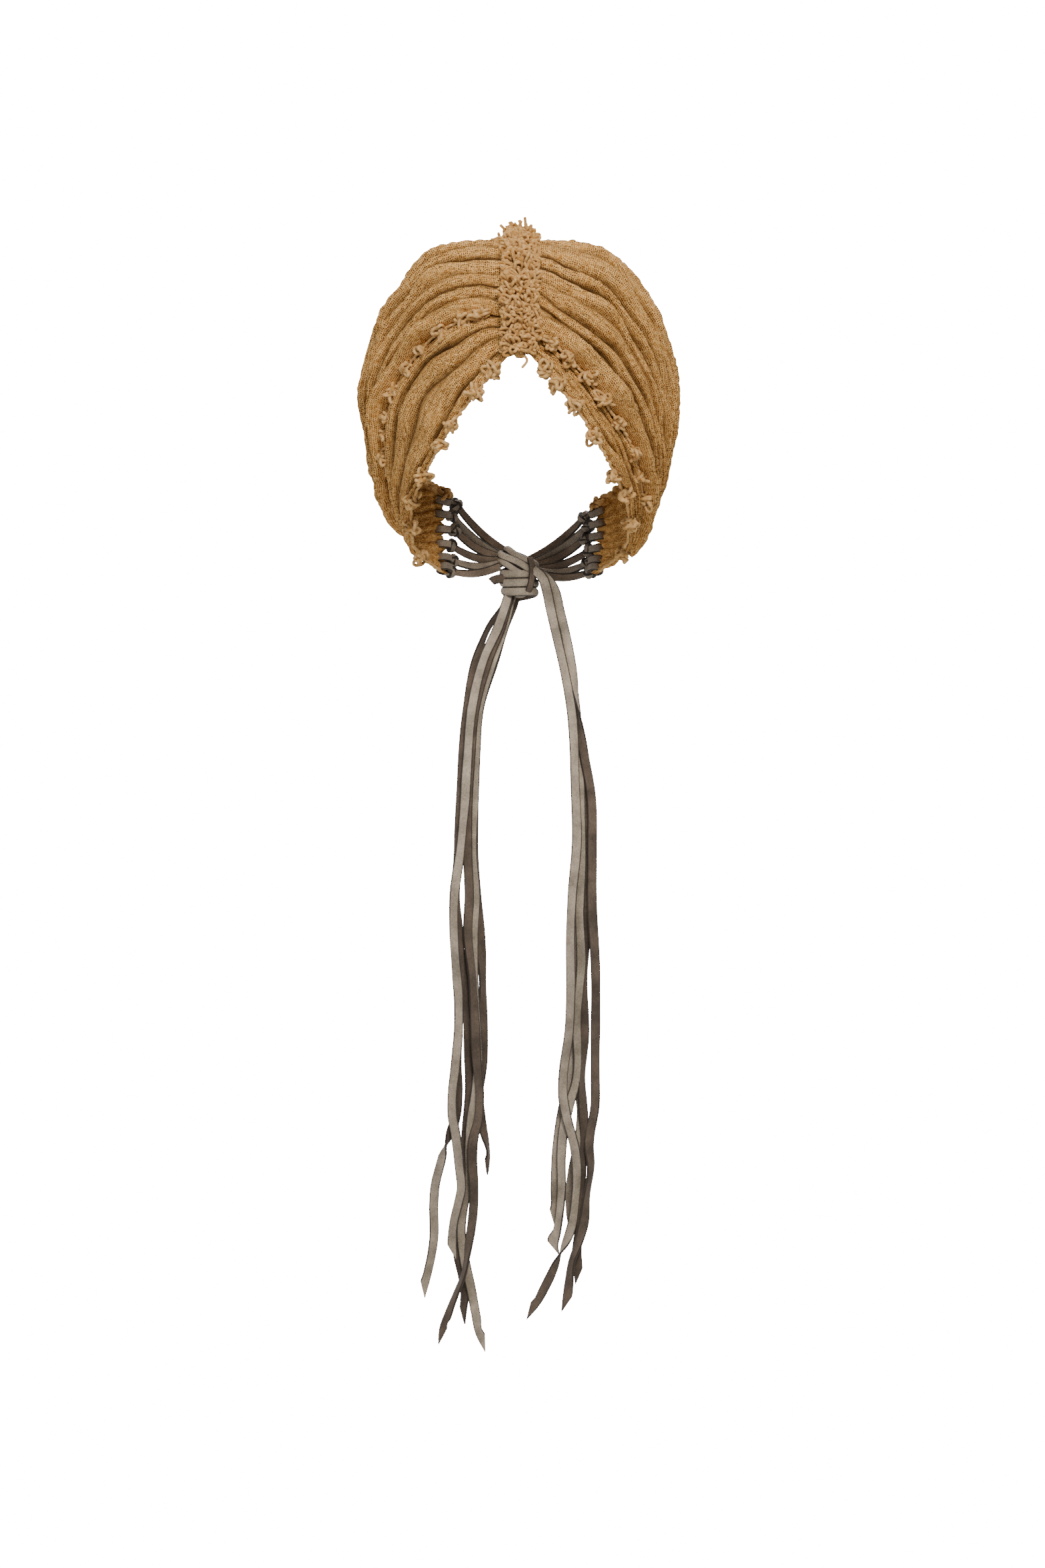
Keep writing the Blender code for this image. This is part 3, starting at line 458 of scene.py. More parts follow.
OVER_CREASES = {
    "left": (
        (UNDER_CREASES["left"][-1][0], 1.0),
        ((0.165, 0.250, 0.360, 0.480, 0.55), 0.6),
        ((0.215, 0.300, 0.410, 0.530, 0.60), 1.0),
        ((0.257, 0.350, 0.470, 0.580, 0.65), 0.5),
        ((0.350, 0.430, 0.530, 0.635, 0.70), 1.0),
        ((0.450, 0.510, 0.600, 0.690, 0.75), 0.7),
        ((0.550, 0.600, 0.670, 0.745, 0.80), 0.5),
        ((0.650, 0.690, 0.740, 0.800, 0.85), 0.8),
        ((0.750, 0.780, 0.815, 0.860, 0.90), 0.5),
        ((0.870, 0.880, 0.900, 0.925, 0.95), 0.8),
        ((1.000, 1.000, 1.000, 1.000, 1.00), 0.7),
    ),
    "right": (
        (UNDER_CREASES["right"][-1][0], 1.0),
        ((0.145, 0.142, 0.185, 0.280, 0.38), 1.0),
        ((0.182, 0.180, 0.245, 0.330, 0.44), 0.8),
        ((0.230, 0.240, 0.295, 0.380, 0.50), 0.5),
        ((0.282, 0.300, 0.345, 0.430, 0.56), 1.0),
        ((0.345, 0.345, 0.410, 0.490, 0.61), 1.0),
        ((0.460, 0.460, 0.500, 0.570, 0.68), 0.5),
        ((0.580, 0.590, 0.610, 0.660, 0.75), 0.8),
        ((0.700, 0.710, 0.730, 0.760, 0.82), 0.5),
        ((0.850, 0.855, 0.860, 0.880, 0.91), 0.8),
        ((1.000, 1.000, 1.000, 1.000, 1.00), 0.7),
    ),
}
EYELETS = (0.09, 0.25, 0.42, 0.58, 0.74, 0.90)
PITCH = 0.0014


def station_points():
    """Knots from the left end to the right end, and the rim, middle and rear points there."""
    size = np.array((HALF_WIDTH, HALF_DEPTH, CROWN_HEIGHT))
    knots = []
    points = []
    for side in ("left", "right"):
        rows = STATIONS[::-1] if side == "left" else STATIONS[1:]
        for share, *row in rows:
            placed = np.array(row) * size * (SIGN[side], 1, 1)
            placed[1:, 2] -= np.array((0.5, 1)) * END_DROP[side] * CROWN_HEIGHT * share**6
            knots.append(SIGN[side] * share)
            points.append(placed)
    return knots, np.array(points)


KNOTS, POINTS = station_points()


def base_point(along, across):
    """A point of the head's shape: along is -1 to 1 between the ends, across 0 to 1 from rim to rear."""
    stations = smooth_between(KNOTS, POINTS.reshape(-1, 9), along).reshape(-1, 3, 3)
    rim, middle, rear = np.moveaxis(stations, 1, 0)
    pull = ((2 + 2 * SECTION_WEIGHT) * middle - rim - rear) / (2 * SECTION_WEIGHT)
    v = np.asarray(across, float)[:, None]
    weights = (1 - v) ** 2, 2 * SECTION_WEIGHT * v * (1 - v), v**2
    return (weights[0] * rim + weights[1] * pull + weights[2] * rear) / sum(weights)


def base_frame(along, across, step=0.004):
    """Point, outward normal and direction towards the rear edge, at many places at once."""
    along = np.asarray(along, float)
    across = np.asarray(across, float)
    point = base_point(along, across)
    rearward = base_point(along, across + step) - base_point(along, across - step)
    sideways = base_point(np.minimum(along + step, 1), across)
    sideways -= base_point(np.maximum(along - step, -1), across)
    return point, unit(np.cross(sideways, rearward)), unit(rearward)


def creases_at(tables, along):
    """Place and depth of each crease at one place along the cloth, the two sides joined under the band."""
    to_right = min(max((along / BAND_END + 1) / 2, 0), 1)
    places = []
    depths = []
    for (left, left_depth), (right, right_depth) in zip(tables["left"], tables["right"]):
        both = smooth_between(CREASE_PLACES, np.array((left, right)).T, abs(along))
        places.append(both @ (1 - to_right, to_right))
        depths.append(left_depth * (1 - to_right) + right_depth * to_right)
    return np.array(places), np.array(depths)


def fullness(along):
    """The pleats are pressed flat under the band, full over the sides and small again at the ends."""
    return float(smooth_between((0, 0.12, 0.22, 0.78, 0.93, 1), (0.15, 0.3, 1, 1, 0.45, 0.3), abs(along)))


def layer_lift(along):
    """How high the over layer lies over the under layer's own place."""
    lifts = (LAYER_LIFT, LAYER_LIFT, LAYER_LIFT_AT_END, LAYER_LIFT_AT_END)
    return float(smooth_between((0, 0.75, 0.93, 1), lifts, abs(along)))


def overlap_edge(along):
    """Where the over layer's front edge lies, as a share from the rim to the rear."""
    return creases_at(OVER_CREASES, along)[0][0]


def pleated(seed, tables, columns, puff, lift_at, steps, dig, lean, tuck, margin):
    """Outer points of a pleated layer, columns by rows, and how far down in a crease each is, which paints
    shade into the creases; below 0 where the cloth is bunched at a gathered end and its weave closes up,
    which also paints those shaded ends lighter."""
    points = []
    fold_shades_and_bunching = []
    for along in columns:
        places, depths = creases_at(tables, along)
        full = fullness(along) * puff
        gaps = np.minimum(np.diff(places)[:-1], np.diff(places)[1:])
        strays = [wander(seed * 50 + index, along, 6) for index in range(len(gaps))]
        places[1:-1] += gaps * 0.16 * np.array(strays)
        pressed = smooth_between((0, 0.1, 0.2, 0.85, 1), (0.3, 0.8, 1, 1, 0.6), abs(along))
        dug = np.full(len(depths), dig * pressed)
        dug[[0, -1]] = 0
        low = full * (1 - depths) - dug * depths
        across = []
        heights = []
        leans = []
        fold_shade_and_bunching = []
        last = len(places) - 2
        for pleat in range(len(places) - 1):
            share = np.linspace(0, 1, steps, endpoint=False)
            if pleat == last:
                share = np.linspace(0, 1, steps + 1)
            own = seed * 100 + pleat * 7 + (3 if along > 0 else 0)
            skewed = share ** (0.86 + 0.16 * wander(own, along, 3))
            arch = np.sin(math.pi * np.clip(skewed, 0, 1)) ** 0.7
            width = places[pleat + 1] - places[pleat]
            ridge = full * min(1, width / FULL_PLEAT) * (1 + 0.3 * wander(own + 1, along, 6))
            ridge *= 1.0 if pleat else 1.5
            valley = low[pleat] * (1 - share) + low[pleat + 1] * share
            height = valley + (np.maximum(ridge, valley + 0.0006) - valley) * arch
            lines = 1.6 + 2.2 * min(1, width / 0.09)
            line = np.sin(2 * math.pi * (lines * share + 0.9 * wander(own + 2, along, 5)))
            finer = np.sin(2 * math.pi * (2.3 * lines * share + 1.3 * wander(own + 3, along, 9)))
            swell = 0.6 + 0.4 * wander(own + 4, along, 7)
            near_band = 1 + 1.1 * math.exp(-(((abs(along) - 0.17) / 0.09) ** 2))
            height += arch * min(1, width / 0.05) * near_band * (0.00075 * swell * line + 0.00038 * finer)
            height += 0.0006 * arch * wander(own + 5, share * 0.7 + along * 3, 9)
            across.append(places[pleat] + width * share)
            heights.append(height)
            leans.append(-lean * pressed * min(1, width / FULL_PLEAT) * arch**2)
            # Painted shade: how far down in a crease each point lies, and the dips of the smaller wrinkles,
            # later darken the cloth's colour.
            deep = depths[pleat] * (1 - share) + depths[pleat + 1] * share
            small = 0.4 * np.clip(-line, 0, 1) ** 2 * arch * min(1, width / 0.05)
            fold_shade_and_bunching.append(deep * (1 - arch) ** 1.2 + small)
        if margin:
            edge = places[-1]
            widened = min(max(float(smooth_between((0, 0.6, 0.95, 1), (0, 0, 1, 1), abs(along))), 0), 1)
            back = edge + UNDER_MARGIN + (1 - edge - UNDER_MARGIN) * widened
            share = np.linspace(0, 1, 2 * steps + 1)[1:]
            across.append(edge + (back - edge) * share)
            gathers = np.sin(2 * math.pi * (7 * share + wander(seed, along, 4)))
            heights.append(heights[-1][-1] * (1 - share) + 0.0017 * widened * gathers)
            leans.append(0 * share)
            # Painted shade in the gathers of the margin.
            fold_shade_and_bunching.append(0.25 * widened * (0.5 - 0.5 * gathers))
        across, heights, leans, fold_shade_and_bunching = (np.concatenate(rows) for rows in (across, heights, leans, fold_shade_and_bunching))
        point, normal, rearward = base_frame(np.full(len(across), along), across)
        curl = np.exp(-((np.arange(len(across)) / 5.5) ** 2)) * tuck
        end = np.clip((abs(along) - 0.84) / 0.16, 0, 1)
        bunched = np.sin(2 * math.pi * (9 * across + 0.8 * wander(seed + 8, along, 6)))
        raised = (heights + lift_at(along) - curl + 0.0013 * end * bunched)[:, None]
        scallop = 0.5 - 0.5 * np.cos(2 * math.pi * np.interp(across, EYELETS, range(len(EYELETS))))
        inward = base_point(np.full(len(across), along * 0.97), across) - point
        pull = unit(inward) * (0.0022 * scallop * end**2)[:, None] if margin else 0
        points.append(point + normal * raised + rearward * leans[:, None] + pull)
        # Painted shade is lessened near the front edge; at the gathered ends the value goes below zero,
        # closing the weave where the cloth bunches and so painting those shaded ends lighter.
        edge_shade_share = 1 - 0.85 * np.exp(-((np.arange(len(across)) / 6) ** 2))
        fold_shades_and_bunching.append(fold_shade_and_bunching * edge_shade_share * (1 - end) - 0.8 * end)
    return np.array(points), np.array(fold_shades_and_bunching)


def walled_cloth(name, outer, fold_shades_and_bunching, steps, columns, material, *nodes):
    """A closed thin wall under a grid of outer points, with the weave's own map, in metres."""
    count, rows = outer.shape[:2]
    down = unit(np.cross(np.gradient(outer, axis=0), np.gradient(outer, axis=1)))
    facing_out = (down * (outer - np.array((0, 0.01, -0.02)))).sum() > 0
    inner = outer - down * (GAUZE_WALL if facing_out else -GAUZE_WALL)
    bm = bmesh.new()
    bmesh.ops.create_grid(bm, x_segments=rows - 1, y_segments=count - 1, size=0.5)
    place = bm.verts.layers.int.new("place")
    for vert in bm.verts:
        vert[place] = round((vert.co.y + 0.5) * (count - 1)) * rows + round((vert.co.x + 0.5) * (rows - 1))
    grown = bmesh.ops.extrude_face_region(bm, geom=bm.faces[:], use_keep_orig=True)
    raised = {item for item in grown["geom"] if isinstance(item, bmesh.types.BMVert)}
    outer_flat = outer.reshape(-1, 3)
    inner_flat = inner.reshape(-1, 3)
    for vert in bm.verts:
        vert.co = Vector((outer_flat if vert in raised else inner_flat)[vert[place]])
    mesh = mesh_of(bm, name)
    places = np.zeros(len(mesh.vertices), np.int32)
    mesh.attributes["place"].data.foreach_get("value", places)
    # The crease values go on the mesh for the painted shade in the creases.
    layer = mesh.attributes.new("fold_shade_and_bunching", "FLOAT", "POINT")
    layer.data.foreach_set("value", fold_shades_and_bunching.reshape(-1)[places].astype(np.float32))
    middle = int(np.argmin(np.abs(columns)))
    forward = np.linalg.norm(np.diff(outer, axis=0), axis=2)
    along_map = np.vstack((np.zeros(rows), np.cumsum(forward, axis=0)))
    along_map -= along_map[middle]
    sideways = np.linalg.norm(np.diff(outer, axis=1), axis=2)
    across_map = np.hstack((np.zeros((count, 1)), np.cumsum(sideways, axis=1)))
    corners = np.zeros(len(mesh.loops), np.int32)
    mesh.loops.foreach_get("vertex_index", corners)
    column, row = np.divmod(places[corners], rows)
    starts = np.zeros(len(mesh.polygons), np.int32)
    mesh.polygons.foreach_get("loop_start", starts)
    totals = np.zeros(len(mesh.polygons), np.int32)
    mesh.polygons.foreach_get("loop_total", totals)
    pleat = np.repeat(np.minimum.reduceat(row, starts) // steps, totals)
    ridge = np.minimum(pleat * steps + int(steps * 0.42), rows - 1)
    weave = mesh.uv_layers.new(name="weave")
    values = np.stack((
        along_map[column, ridge] * 0.5 + along_map[column, row] * 0.5,
        across_map[column, row] - across_map[column, ridge] + pleat * 0.0317,
    ), axis=1)
    weave.data.foreach_set("uv", values.astype(np.float32).ravel())
    mesh.attributes.remove(mesh.attributes["place"])
    return piece(name, [mesh], material, "gauze", *nodes)


def gauze_cloth(name):
    """Open plain weave: bright slubby threads, pores between them painted dark for the shade seen through
    them, and painted shade down in the creases.
    """
    material, tree, shader = start_material(
        name, Roughness=0.92, Specular_IOR_Level=0.12, Sheen_Weight=0.12, Sheen_Roughness=0.6,
        Sheen_Tint=colour("#E3B878"),
    )
    place = add_node(tree, "ShaderNodeTexCoord").outputs["Object"]
    weave = add_node(tree, "ShaderNodeUVMap", uv_map="weave").outputs[0]
    fold_shade_and_bunching = attribute(tree, "fold_shade_and_bunching")
    vector_maths = "ShaderNodeVectorMath"
    stray = add_node(tree, "ShaderNodeTexNoise", {"Vector": place, "Scale": 260, "Detail": 3})
    stray = maths(tree, "SUBTRACT", stray.outputs["Color"], (0.5, 0.5, 0.5), kind=vector_maths)
    weave = maths(tree, "MULTIPLY_ADD", stray, (0.0022, 0.0022, 0), weave, kind=vector_maths)
    waves = maths(tree, "SINE", scaled(tree, weave, math.pi / PITCH), kind=vector_maths)
    waves = add_node(tree, "ShaderNodeSeparateXYZ", {0: maths(tree, "ABSOLUTE", waves, kind=vector_maths)})
    thread = maths(tree, "MAXIMUM", waves.outputs[0], waves.outputs[1])
    fuzz = noise(tree, place, 2600, 4)
    slubs = noise(tree, place, 480, 3)
    worn = maths(tree, "MULTIPLY_ADD", slubs, 0.5, thread)
    worn = maths(tree, "MULTIPLY_ADD", fuzz, 0.35, worn)
    covered = ramp(tree, worn, 1.05, 1.27, kind="SMOOTHSTEP")
    closed = ramp(tree, noise(tree, place, 95, 4), 0.50, 0.74, 0.0, 0.55)
    covered = maths(tree, "MAXIMUM", covered, closed)
    # Below zero the crease value closes the pores: the bunched weave at the gathered ends, painted lighter
    # there though they lie in shade.
    covered = maths(tree, "MAXIMUM", covered, maths(tree, "MULTIPLY", fold_shade_and_bunching, -1.0))
    yarn = blend(tree, ramp(tree, slubs, 0.3, 0.7), "#C4883E", "#EBBB75")
    # The pores between the threads are real gaps, painted near-black brown: painted shade for the dim cloth
    # seen through the open weave.
    yarn = blend(tree, covered, "#3A1C03", yarn)
    # Painted shade down in the creases.
    yarn = blend(tree, ramp(tree, fold_shade_and_bunching, 0.08, 0.75, 0.0, 0.95), yarn, "#3C1E04")
    skin_over(tree, shader, yarn, maths(tree, "MULTIPLY_ADD", fuzz, 0.5, covered), 0.75, 0.0005)
    return material


gauze = gauze_cloth("ochre open-weave gauze")
STEPS = 14
COLUMNS = 231
under_columns = np.linspace(-1, 1, COLUMNS)
outer, fold_shades_and_bunching = pleated(
    1, UNDER_CREASES, under_columns, UNDER_PUFF * 1.2, lambda along: 0.0, STEPS,
    dig=0.0013, lean=0.0014, tuck=0.0009, margin=True,
)
under_layer = walled_cloth("under_layer", outer, fold_shades_and_bunching, STEPS, under_columns, gauze, "under_wrap")
over_columns = OVER_END * under_columns
outer, fold_shades_and_bunching = pleated(
    2, OVER_CREASES, over_columns, OVER_PUFF * 1.15, layer_lift, STEPS,
    dig=0.0025, lean=0.0026, tuck=0.0046, margin=False,
)
over_layer = walled_cloth("over_layer", outer, fold_shades_and_bunching, STEPS, over_columns, gauze, "over_wrap")

# Tufted selvages: along each edge of the cloth two soft-spun yarns run from tuft to tuft, and each
# tuft is a knot of loops of the same ochre yarn, left standing from the weaving. At each gathered end
# the cloth's rear edge is rolled into a thick hem of five strands.
TUFT_SIZE = 0.0062
TUFT_LOOPS = 17
TUFT_YARN = 0.00112
SELVAGE_YARN = 0.0009
HEM_YARN = 0.0016
HEM_ROUND = 0.0021
RIM_TUFTS = {
    "left": (0.16, 0.28, 0.45, 0.55, 0.71, 0.79, 0.86, 0.93),
    "right": (0.15, 0.23, 0.34, 0.50, 0.70, 0.77, 0.85, 0.92),
}
OVERLAP_TUFTS = {
    "left": (0.15, 0.22, 0.31, 0.40, 0.47, 0.54, 0.61, 0.66, 0.71),
    "right": (0.15, 0.23, 0.34, 0.44, 0.54, 0.66, 0.73, 0.79),
}


def yarn_cloth(name, light, dark, root_shade):
    """Soft-spun cotton yarn: twisted fibres, fuzzy, with painted shade down among the loops."""
    material, tree, shader = start_material(
        name, Roughness=0.95, Specular_IOR_Level=0.1, Sheen_Weight=0.5, Sheen_Roughness=0.5,
        Sheen_Tint=colour("#F0CE97"),
    )
    place = add_node(tree, "ShaderNodeTexCoord").outputs["Object"]
    fibres = noise(tree, place, 2400, 4)
    yarn = blend(tree, ramp(tree, noise(tree, place, 330, 3), 0.32, 0.68), dark, light)
    yarn = scaled(tree, yarn, ramp(tree, fibres, 0.3, 0.7, 0.7, 1.15))
    # Painted shade: the yarn darkens towards the cloth, down among the loops.
    yarn = blend(tree, attribute(tree, "depth"), yarn, root_shade)
    skin_over(tree, shader, yarn, fibres, 0.8, 0.0004)
    return material


def yarn_mesh(strands, radius, root_shade):
    """One mesh of many strands of six-sided yarn, darker at both ends with painted shade, where it goes into
    the cloth.
    """
    corners = 6
    curve = bpy.data.curves.new("yarn", "CURVE")
    curve.dimensions = "3D"
    curve.bevel_depth = radius
    curve.bevel_resolution = (corners - 4) // 2
    curve.use_fill_caps = True
    for strand in strands:
        spline = curve.splines.new("POLY")
        spline.points.add(len(strand) - 1)
        spline.points.foreach_set("co", np.hstack((strand, np.ones((len(strand), 1)))).ravel())
    holder = bpy.data.objects.new("yarn", curve)
    bpy.context.collection.objects.link(holder)
    bpy.context.view_layer.update()
    mesh = bpy.data.meshes.new_from_object(holder.evaluated_get(bpy.context.evaluated_depsgraph_get()))
    bpy.data.objects.remove(holder)
    share = np.concatenate([np.abs(np.linspace(-1, 1, len(strand))) for strand in strands])
    # How much painted shade each point gets, most at the strand's ends.
    depth = np.full(len(mesh.vertices), root_shade, np.float32)
    depth[-len(share) * corners:] = np.repeat(root_shade * share**2.5, corners)
    mesh.attributes.new("depth", "FLOAT", "POINT").data.foreach_set("value", depth)
    mesh.shade_smooth()
    return mesh


def yarn_loop(random, foot, up, height, spread, lean):
    """The line of one loop of yarn that stands on its foot."""
    turn = np.linspace(-2.45, 2.45, 11)
    side = unit(np.cross(up, random.normal(size=3)))
    size = height / 1.77
    rise = (np.cos(turn) + 0.77)[:, None] * size
    sway = np.sin(turn)[:, None] * size * spread
    bent = unit(random.normal(size=3)) * lean
    return foot + up * rise + side * sway + bent * (rise / height) ** 2 * height


def tuft_strands(random, centre, away, size):
    """Loops of yarn, bunched round the middle of a tuft."""
    strands = []
    for _ in range(TUFT_LOOPS):
        up = unit(unit(away) * 0.45 + random.normal(size=3) * 0.8)
        foot = centre + random.normal(size=3) * size * 0.13 - up * size * 0.14
        height = size * random.uniform(0.42, 0.72)
        strands.append(yarn_loop(random, foot, up, height, random.uniform(0.5, 0.85), 0.5))
    return strands


def frayed(seed, at, waves):
    """Smooth random offsets in all three directions."""
    return np.stack([wander(seed + axis, at, waves) for axis in range(3)], axis=1)


def selvage(name, side, edge_at, lift_at, tufts, first, last, seed, node, hem=0):
    """The yarn along an edge of the cloth, its tufts, and a rolled hem from that share of the length."""

    def place(shares, beyond, above):
        along = np.array(shares) * SIGN[side]
        edge = np.array([edge_at(share) for share in along])
        point, normal, rearward = base_frame(along, edge)
        ahead = along + 0.002
        way = unit(base_point(ahead, np.array([edge_at(share) for share in ahead])) - point)
        outward = unit(way * (way * rearward).sum(axis=1)[:, None] - rearward)
        height = np.array([lift_at(share) for share in along])[:, None] + above
        return point + normal * height + outward * beyond, unit(normal + outward)

    random = np.random.default_rng(seed)
    shares = np.linspace(first, last, 160)
    path, _ = place(shares, 0.0009, 0.0004)
    wavy = path + 0.0004 * frayed(seed, shares, 60)
    strands = [wavy, wavy[::-1] + 0.0007 * frayed(seed + 5, shares, 45)]
    centres, aways = place(tufts, 0.0016, 0.0016)
    loops = []
    for centre, away in zip(centres, aways):
        loops += tuft_strands(random, centre, away, TUFT_SIZE * random.uniform(1.25, 1.6))
    rolled = []
    if hem:
        ahead = np.linspace(hem, 1, 30)
        edge = base_point(ahead * SIGN[side], np.ones(30))
        rolled = [edge + HEM_ROUND * frayed(seed + 60 + 3 * number, ahead, 40) for number in range(5)]
        for at in (2, 27):
            loops += tuft_strands(random, edge[at], edge[at] - edge[14], TUFT_SIZE * 1.3)
    meshes = [yarn_mesh(strands, SELVAGE_YARN, 0.0), yarn_mesh(loops, TUFT_YARN, 0.9)]
    if rolled:
        meshes.append(yarn_mesh(rolled, HEM_YARN, 0.0))
    return piece(name, meshes, tuft_yarn, "pile", node)


# Its last colour is painted shade at the roots of the tuft loops.
tuft_yarn = yarn_cloth("ochre tuft yarn", "#E3BC82", "#BE8C4A", "#6B4313")
for side in SIGN:
    selvage(
        f"rim_selvage_{side}", side, lambda along: 0.0, lambda along: 0.0, RIM_TUFTS[side],
        BAND_END * 0.9, 0.985, 11 + len(side), f"rim_trim_{side}", hem=0.90,
    )
    selvage(
        f"overlap_selvage_{side}", side, overlap_edge, lambda along: layer_lift(along) - 0.0034,
        OVERLAP_TUFTS[side], BAND_END * 0.9, OVERLAP_TUFTS[side][-1] + 0.05, 31 + len(side),
        f"overlap_trim_{side}",
    )

# Looped band: a strip of looped-pile cloth, yarn loops 4 to 6 mm tall on a backing, passed from the
# brow over the crown to the back and closed inside by a narrow tape. It is drawn tight, so that it
# gathers all the pleats under it. Longer cut ends stand at the crown, and one hangs at the brow.
BAND_WIDTH = 0.026
BAND_PILE = 0.0062
PILE_LOOPS = 900
SIDE_LOOPS = 420
CUT_ENDS = 46
PILE_YARN = 0.00096
CUT_YARN = 0.0010
BACKING_THICKNESS = 0.0018
STRIP_THICKNESS = 0.0014
TAPE_WIDTH = 0.008
TAPE_THICKNESS = 0.0012
TAPE_GAP = 0.0010
CLEARANCE = 0.0004
WALL = 0.0021
random = np.random.default_rng(5)
edge = overlap_edge(0)
across = np.concatenate((np.linspace(0, 0.9 * edge, 4), np.linspace(edge, 1, 41)))
point, normal, rearward = base_frame(np.zeros(len(across)), across)
skin_out = WALL / 2 + CLEARANCE
rim_below = point[0] - rearward[0] * 0.0050
rear_below = point[-1] + rearward[-1] * 0.0022
backing = [(rim_below + normal[0] * skin_out * 1.4, normal[0], BAND_WIDTH * 0.38)]
for v, here, way in zip(across, point, normal):
    lift = skin_out + 0.0009 + LAYER_LIFT * min(max((v / edge - 0.4) / 0.5, 0.1), 1)
    backing.append((here + way * lift, way, BAND_WIDTH * 0.68))
strip = [(here, way, width, BACKING_THICKNESS) for here, way, width in backing]
inside = WALL / 2 + TAPE_GAP
for lift in (skin_out + LAYER_LIFT, -inside):
    way = unit(rearward[-1] + normal[-1] * math.copysign(1, lift))
    strip.append((rear_below + normal[-1] * lift, way, TAPE_WIDTH, TAPE_THICKNESS))
for v, here, way in list(zip(across, point, normal))[-2::-2]:
    strip.append((here - way * inside, -way, TAPE_WIDTH * (1 if v > edge else 0.6), TAPE_THICKNESS))
strip.append((rim_below - normal[0] * inside, -rearward[0], TAPE_WIDTH * 0.6, TAPE_THICKNESS))
tape_path = np.array([here + way * high / 2 for here, way, _, high in strip])
tape_ways = np.array([way for _, way, _, _ in strip])
tape_widths = np.array([width for _, _, width, _ in strip])
tape = swept(tape_path, tape_ways, tape_widths, STRIP_THICKNESS, closed=True)
reach = np.array([here for here, _, _ in backing])
reach = np.concatenate(((0,), np.cumsum(np.linalg.norm(np.diff(reach, axis=0), axis=1))))
held = np.array([(*here, *way, width) for here, way, width in backing])
loops = []
for at, off in zip(random.uniform(0, reach[-1], PILE_LOOPS), random.uniform(-0.5, 0.5, PILE_LOOPS)):
    row = smooth_between(reach, held, at)
    here, way = row[:3], unit(row[3:6])
    width = np.interp(at, (0, 0.008, 0.03, 0.07, 0.12), (0.013, 0.0205, 0.0195, 0.0175, 0.0165))
    up = unit(way + np.array((off * 1.6, 0, 0)) + random.normal(size=3) * 0.5)
    height = BAND_PILE * random.uniform(0.62, 1.0) * (1 - 0.9 * off**2)
    foot = here + np.array((off * width, 0, 0)) + way * (0.0012 - 0.004 * off**2)
    loops.append(yarn_loop(random, foot, up, height, random.uniform(0.5, 0.85), 0.6))
for at in random.uniform(0.002, reach[-1], SIDE_LOOPS):
    row = smooth_between(reach, held, at)
    side = random.choice((-1, 1))
    foot = row[:3] + np.array((side * 0.0075, 0, 0)) - unit(row[3:6]) * random.uniform(0, 0.0022)
    up = unit(np.array((side, 0, 0)) + unit(row[3:6]) * 0.3 + random.normal(size=3) * 0.35)
    loops.append(yarn_loop(random, foot, up, random.uniform(0.0028, 0.0042), random.uniform(0.5, 0.8), 0.4))
locks = []
top = int(np.argmax(held[:, 2]))
for _ in range(CUT_ENDS):
    row = smooth_between(reach, held, reach[top] + random.uniform(-0.012, 0.012))
    foot = row[:3] + np.array((random.uniform(-0.4, 0.4) * row[6], 0, 0.002))
    way = unit(np.array((random.normal() * 0.45 + (foot[0] * 25), random.normal() * 0.4, 1)))
    tall = random.uniform(0.006, 0.013) * (1 - 0.5 * min(1, abs(foot[0]) / 0.009))
    bend = unit(random.normal(size=3)) * 0.0035
    share = np.linspace(0, 1, 8)[:, None]
    locks.append(foot + way * tall * share + bend * share**2)
share = np.linspace(0, 1, 12)[:, None]
hanging = rim_below + np.array((0.002, -0.003, 0)) + share * (0.001, 0, -0.0085)
locks.append(hanging + np.sin(share * 4) * (0.0022, 0, 0))
crown = smooth_between(reach, held, reach[top])[:3] + np.array((-0.0135, 0, -0.001))
loops += tuft_strands(random, crown, (-1, -0.2, 0.3), 0.0075)
# Its last colour is painted shade at the roots of the pile loops.
band_yarn = yarn_cloth("ochre looped pile", "#DFB275", "#B3803D", "#3F2206")
meshes = [yarn_mesh(loops, PILE_YARN, 1.0), yarn_mesh(locks, CUT_YARN, 0.0), tape]
piece("looped_band_loops", meshes, band_yarn, "pile", "looped_band")

# Laces: each goes through an eyelet of the gathered end and back round its edge in a flat bight, is tied in
# an overhand knot, and runs to the knot behind the neck. Grey-taupe leather: the bights show its grain side,
# and two runs in three show its flesh side, which is painted lighter than on the hanging ends, painted light
# where the cap shades the runs.
BIGHT_WIDTH = 0.0043
BIGHT_REACH = 0.0057
EYELET_INSET = 0.0060
LACE_KNOT_SIZE = 0.0050
LACE_LAYER = 0.0023
RUN_POINTS = 36
RUN_WIDTHS = (0.0038, 0.0044, 0.0053, 0.0056)
WAY_BACK = 2 / 36
KNOT_RADIUS = 0.0115
KNOT_HEIGHT = 0.025
KNOT_DEPTH = 0.0200
LACES_BEHIND = {"left": 0.0, "right": 2.6}
LACE_ENDS = {
    "left": ((0.0123, 0.42), (0.0114, 0.50), (0.0124, 0.58), (0.0132, 0.66), (0.0127, 0.72), (0.0085, 0.80)),
    "right": ((0.0124, 0.24), (0.0114, 0.30), (0.0102, 0.36), (0.0085, 0.42), (0.0060, 0.48), (0.0040, 0.54)),
}


def eyelet_frame(side, share):
    """Edge point of the gathered end, and the ways back along the cloth, out of it and across it."""
    here = SIGN[side]
    edge, normal, _ = (item[0] for item in base_frame([here], [share]))
    back = unit(base_point([here * (1 - WAY_BACK)], [share])[0] - edge)
    normal = unit(normal - back * (normal @ back))
    return edge, back, normal, np.cross(back, normal)


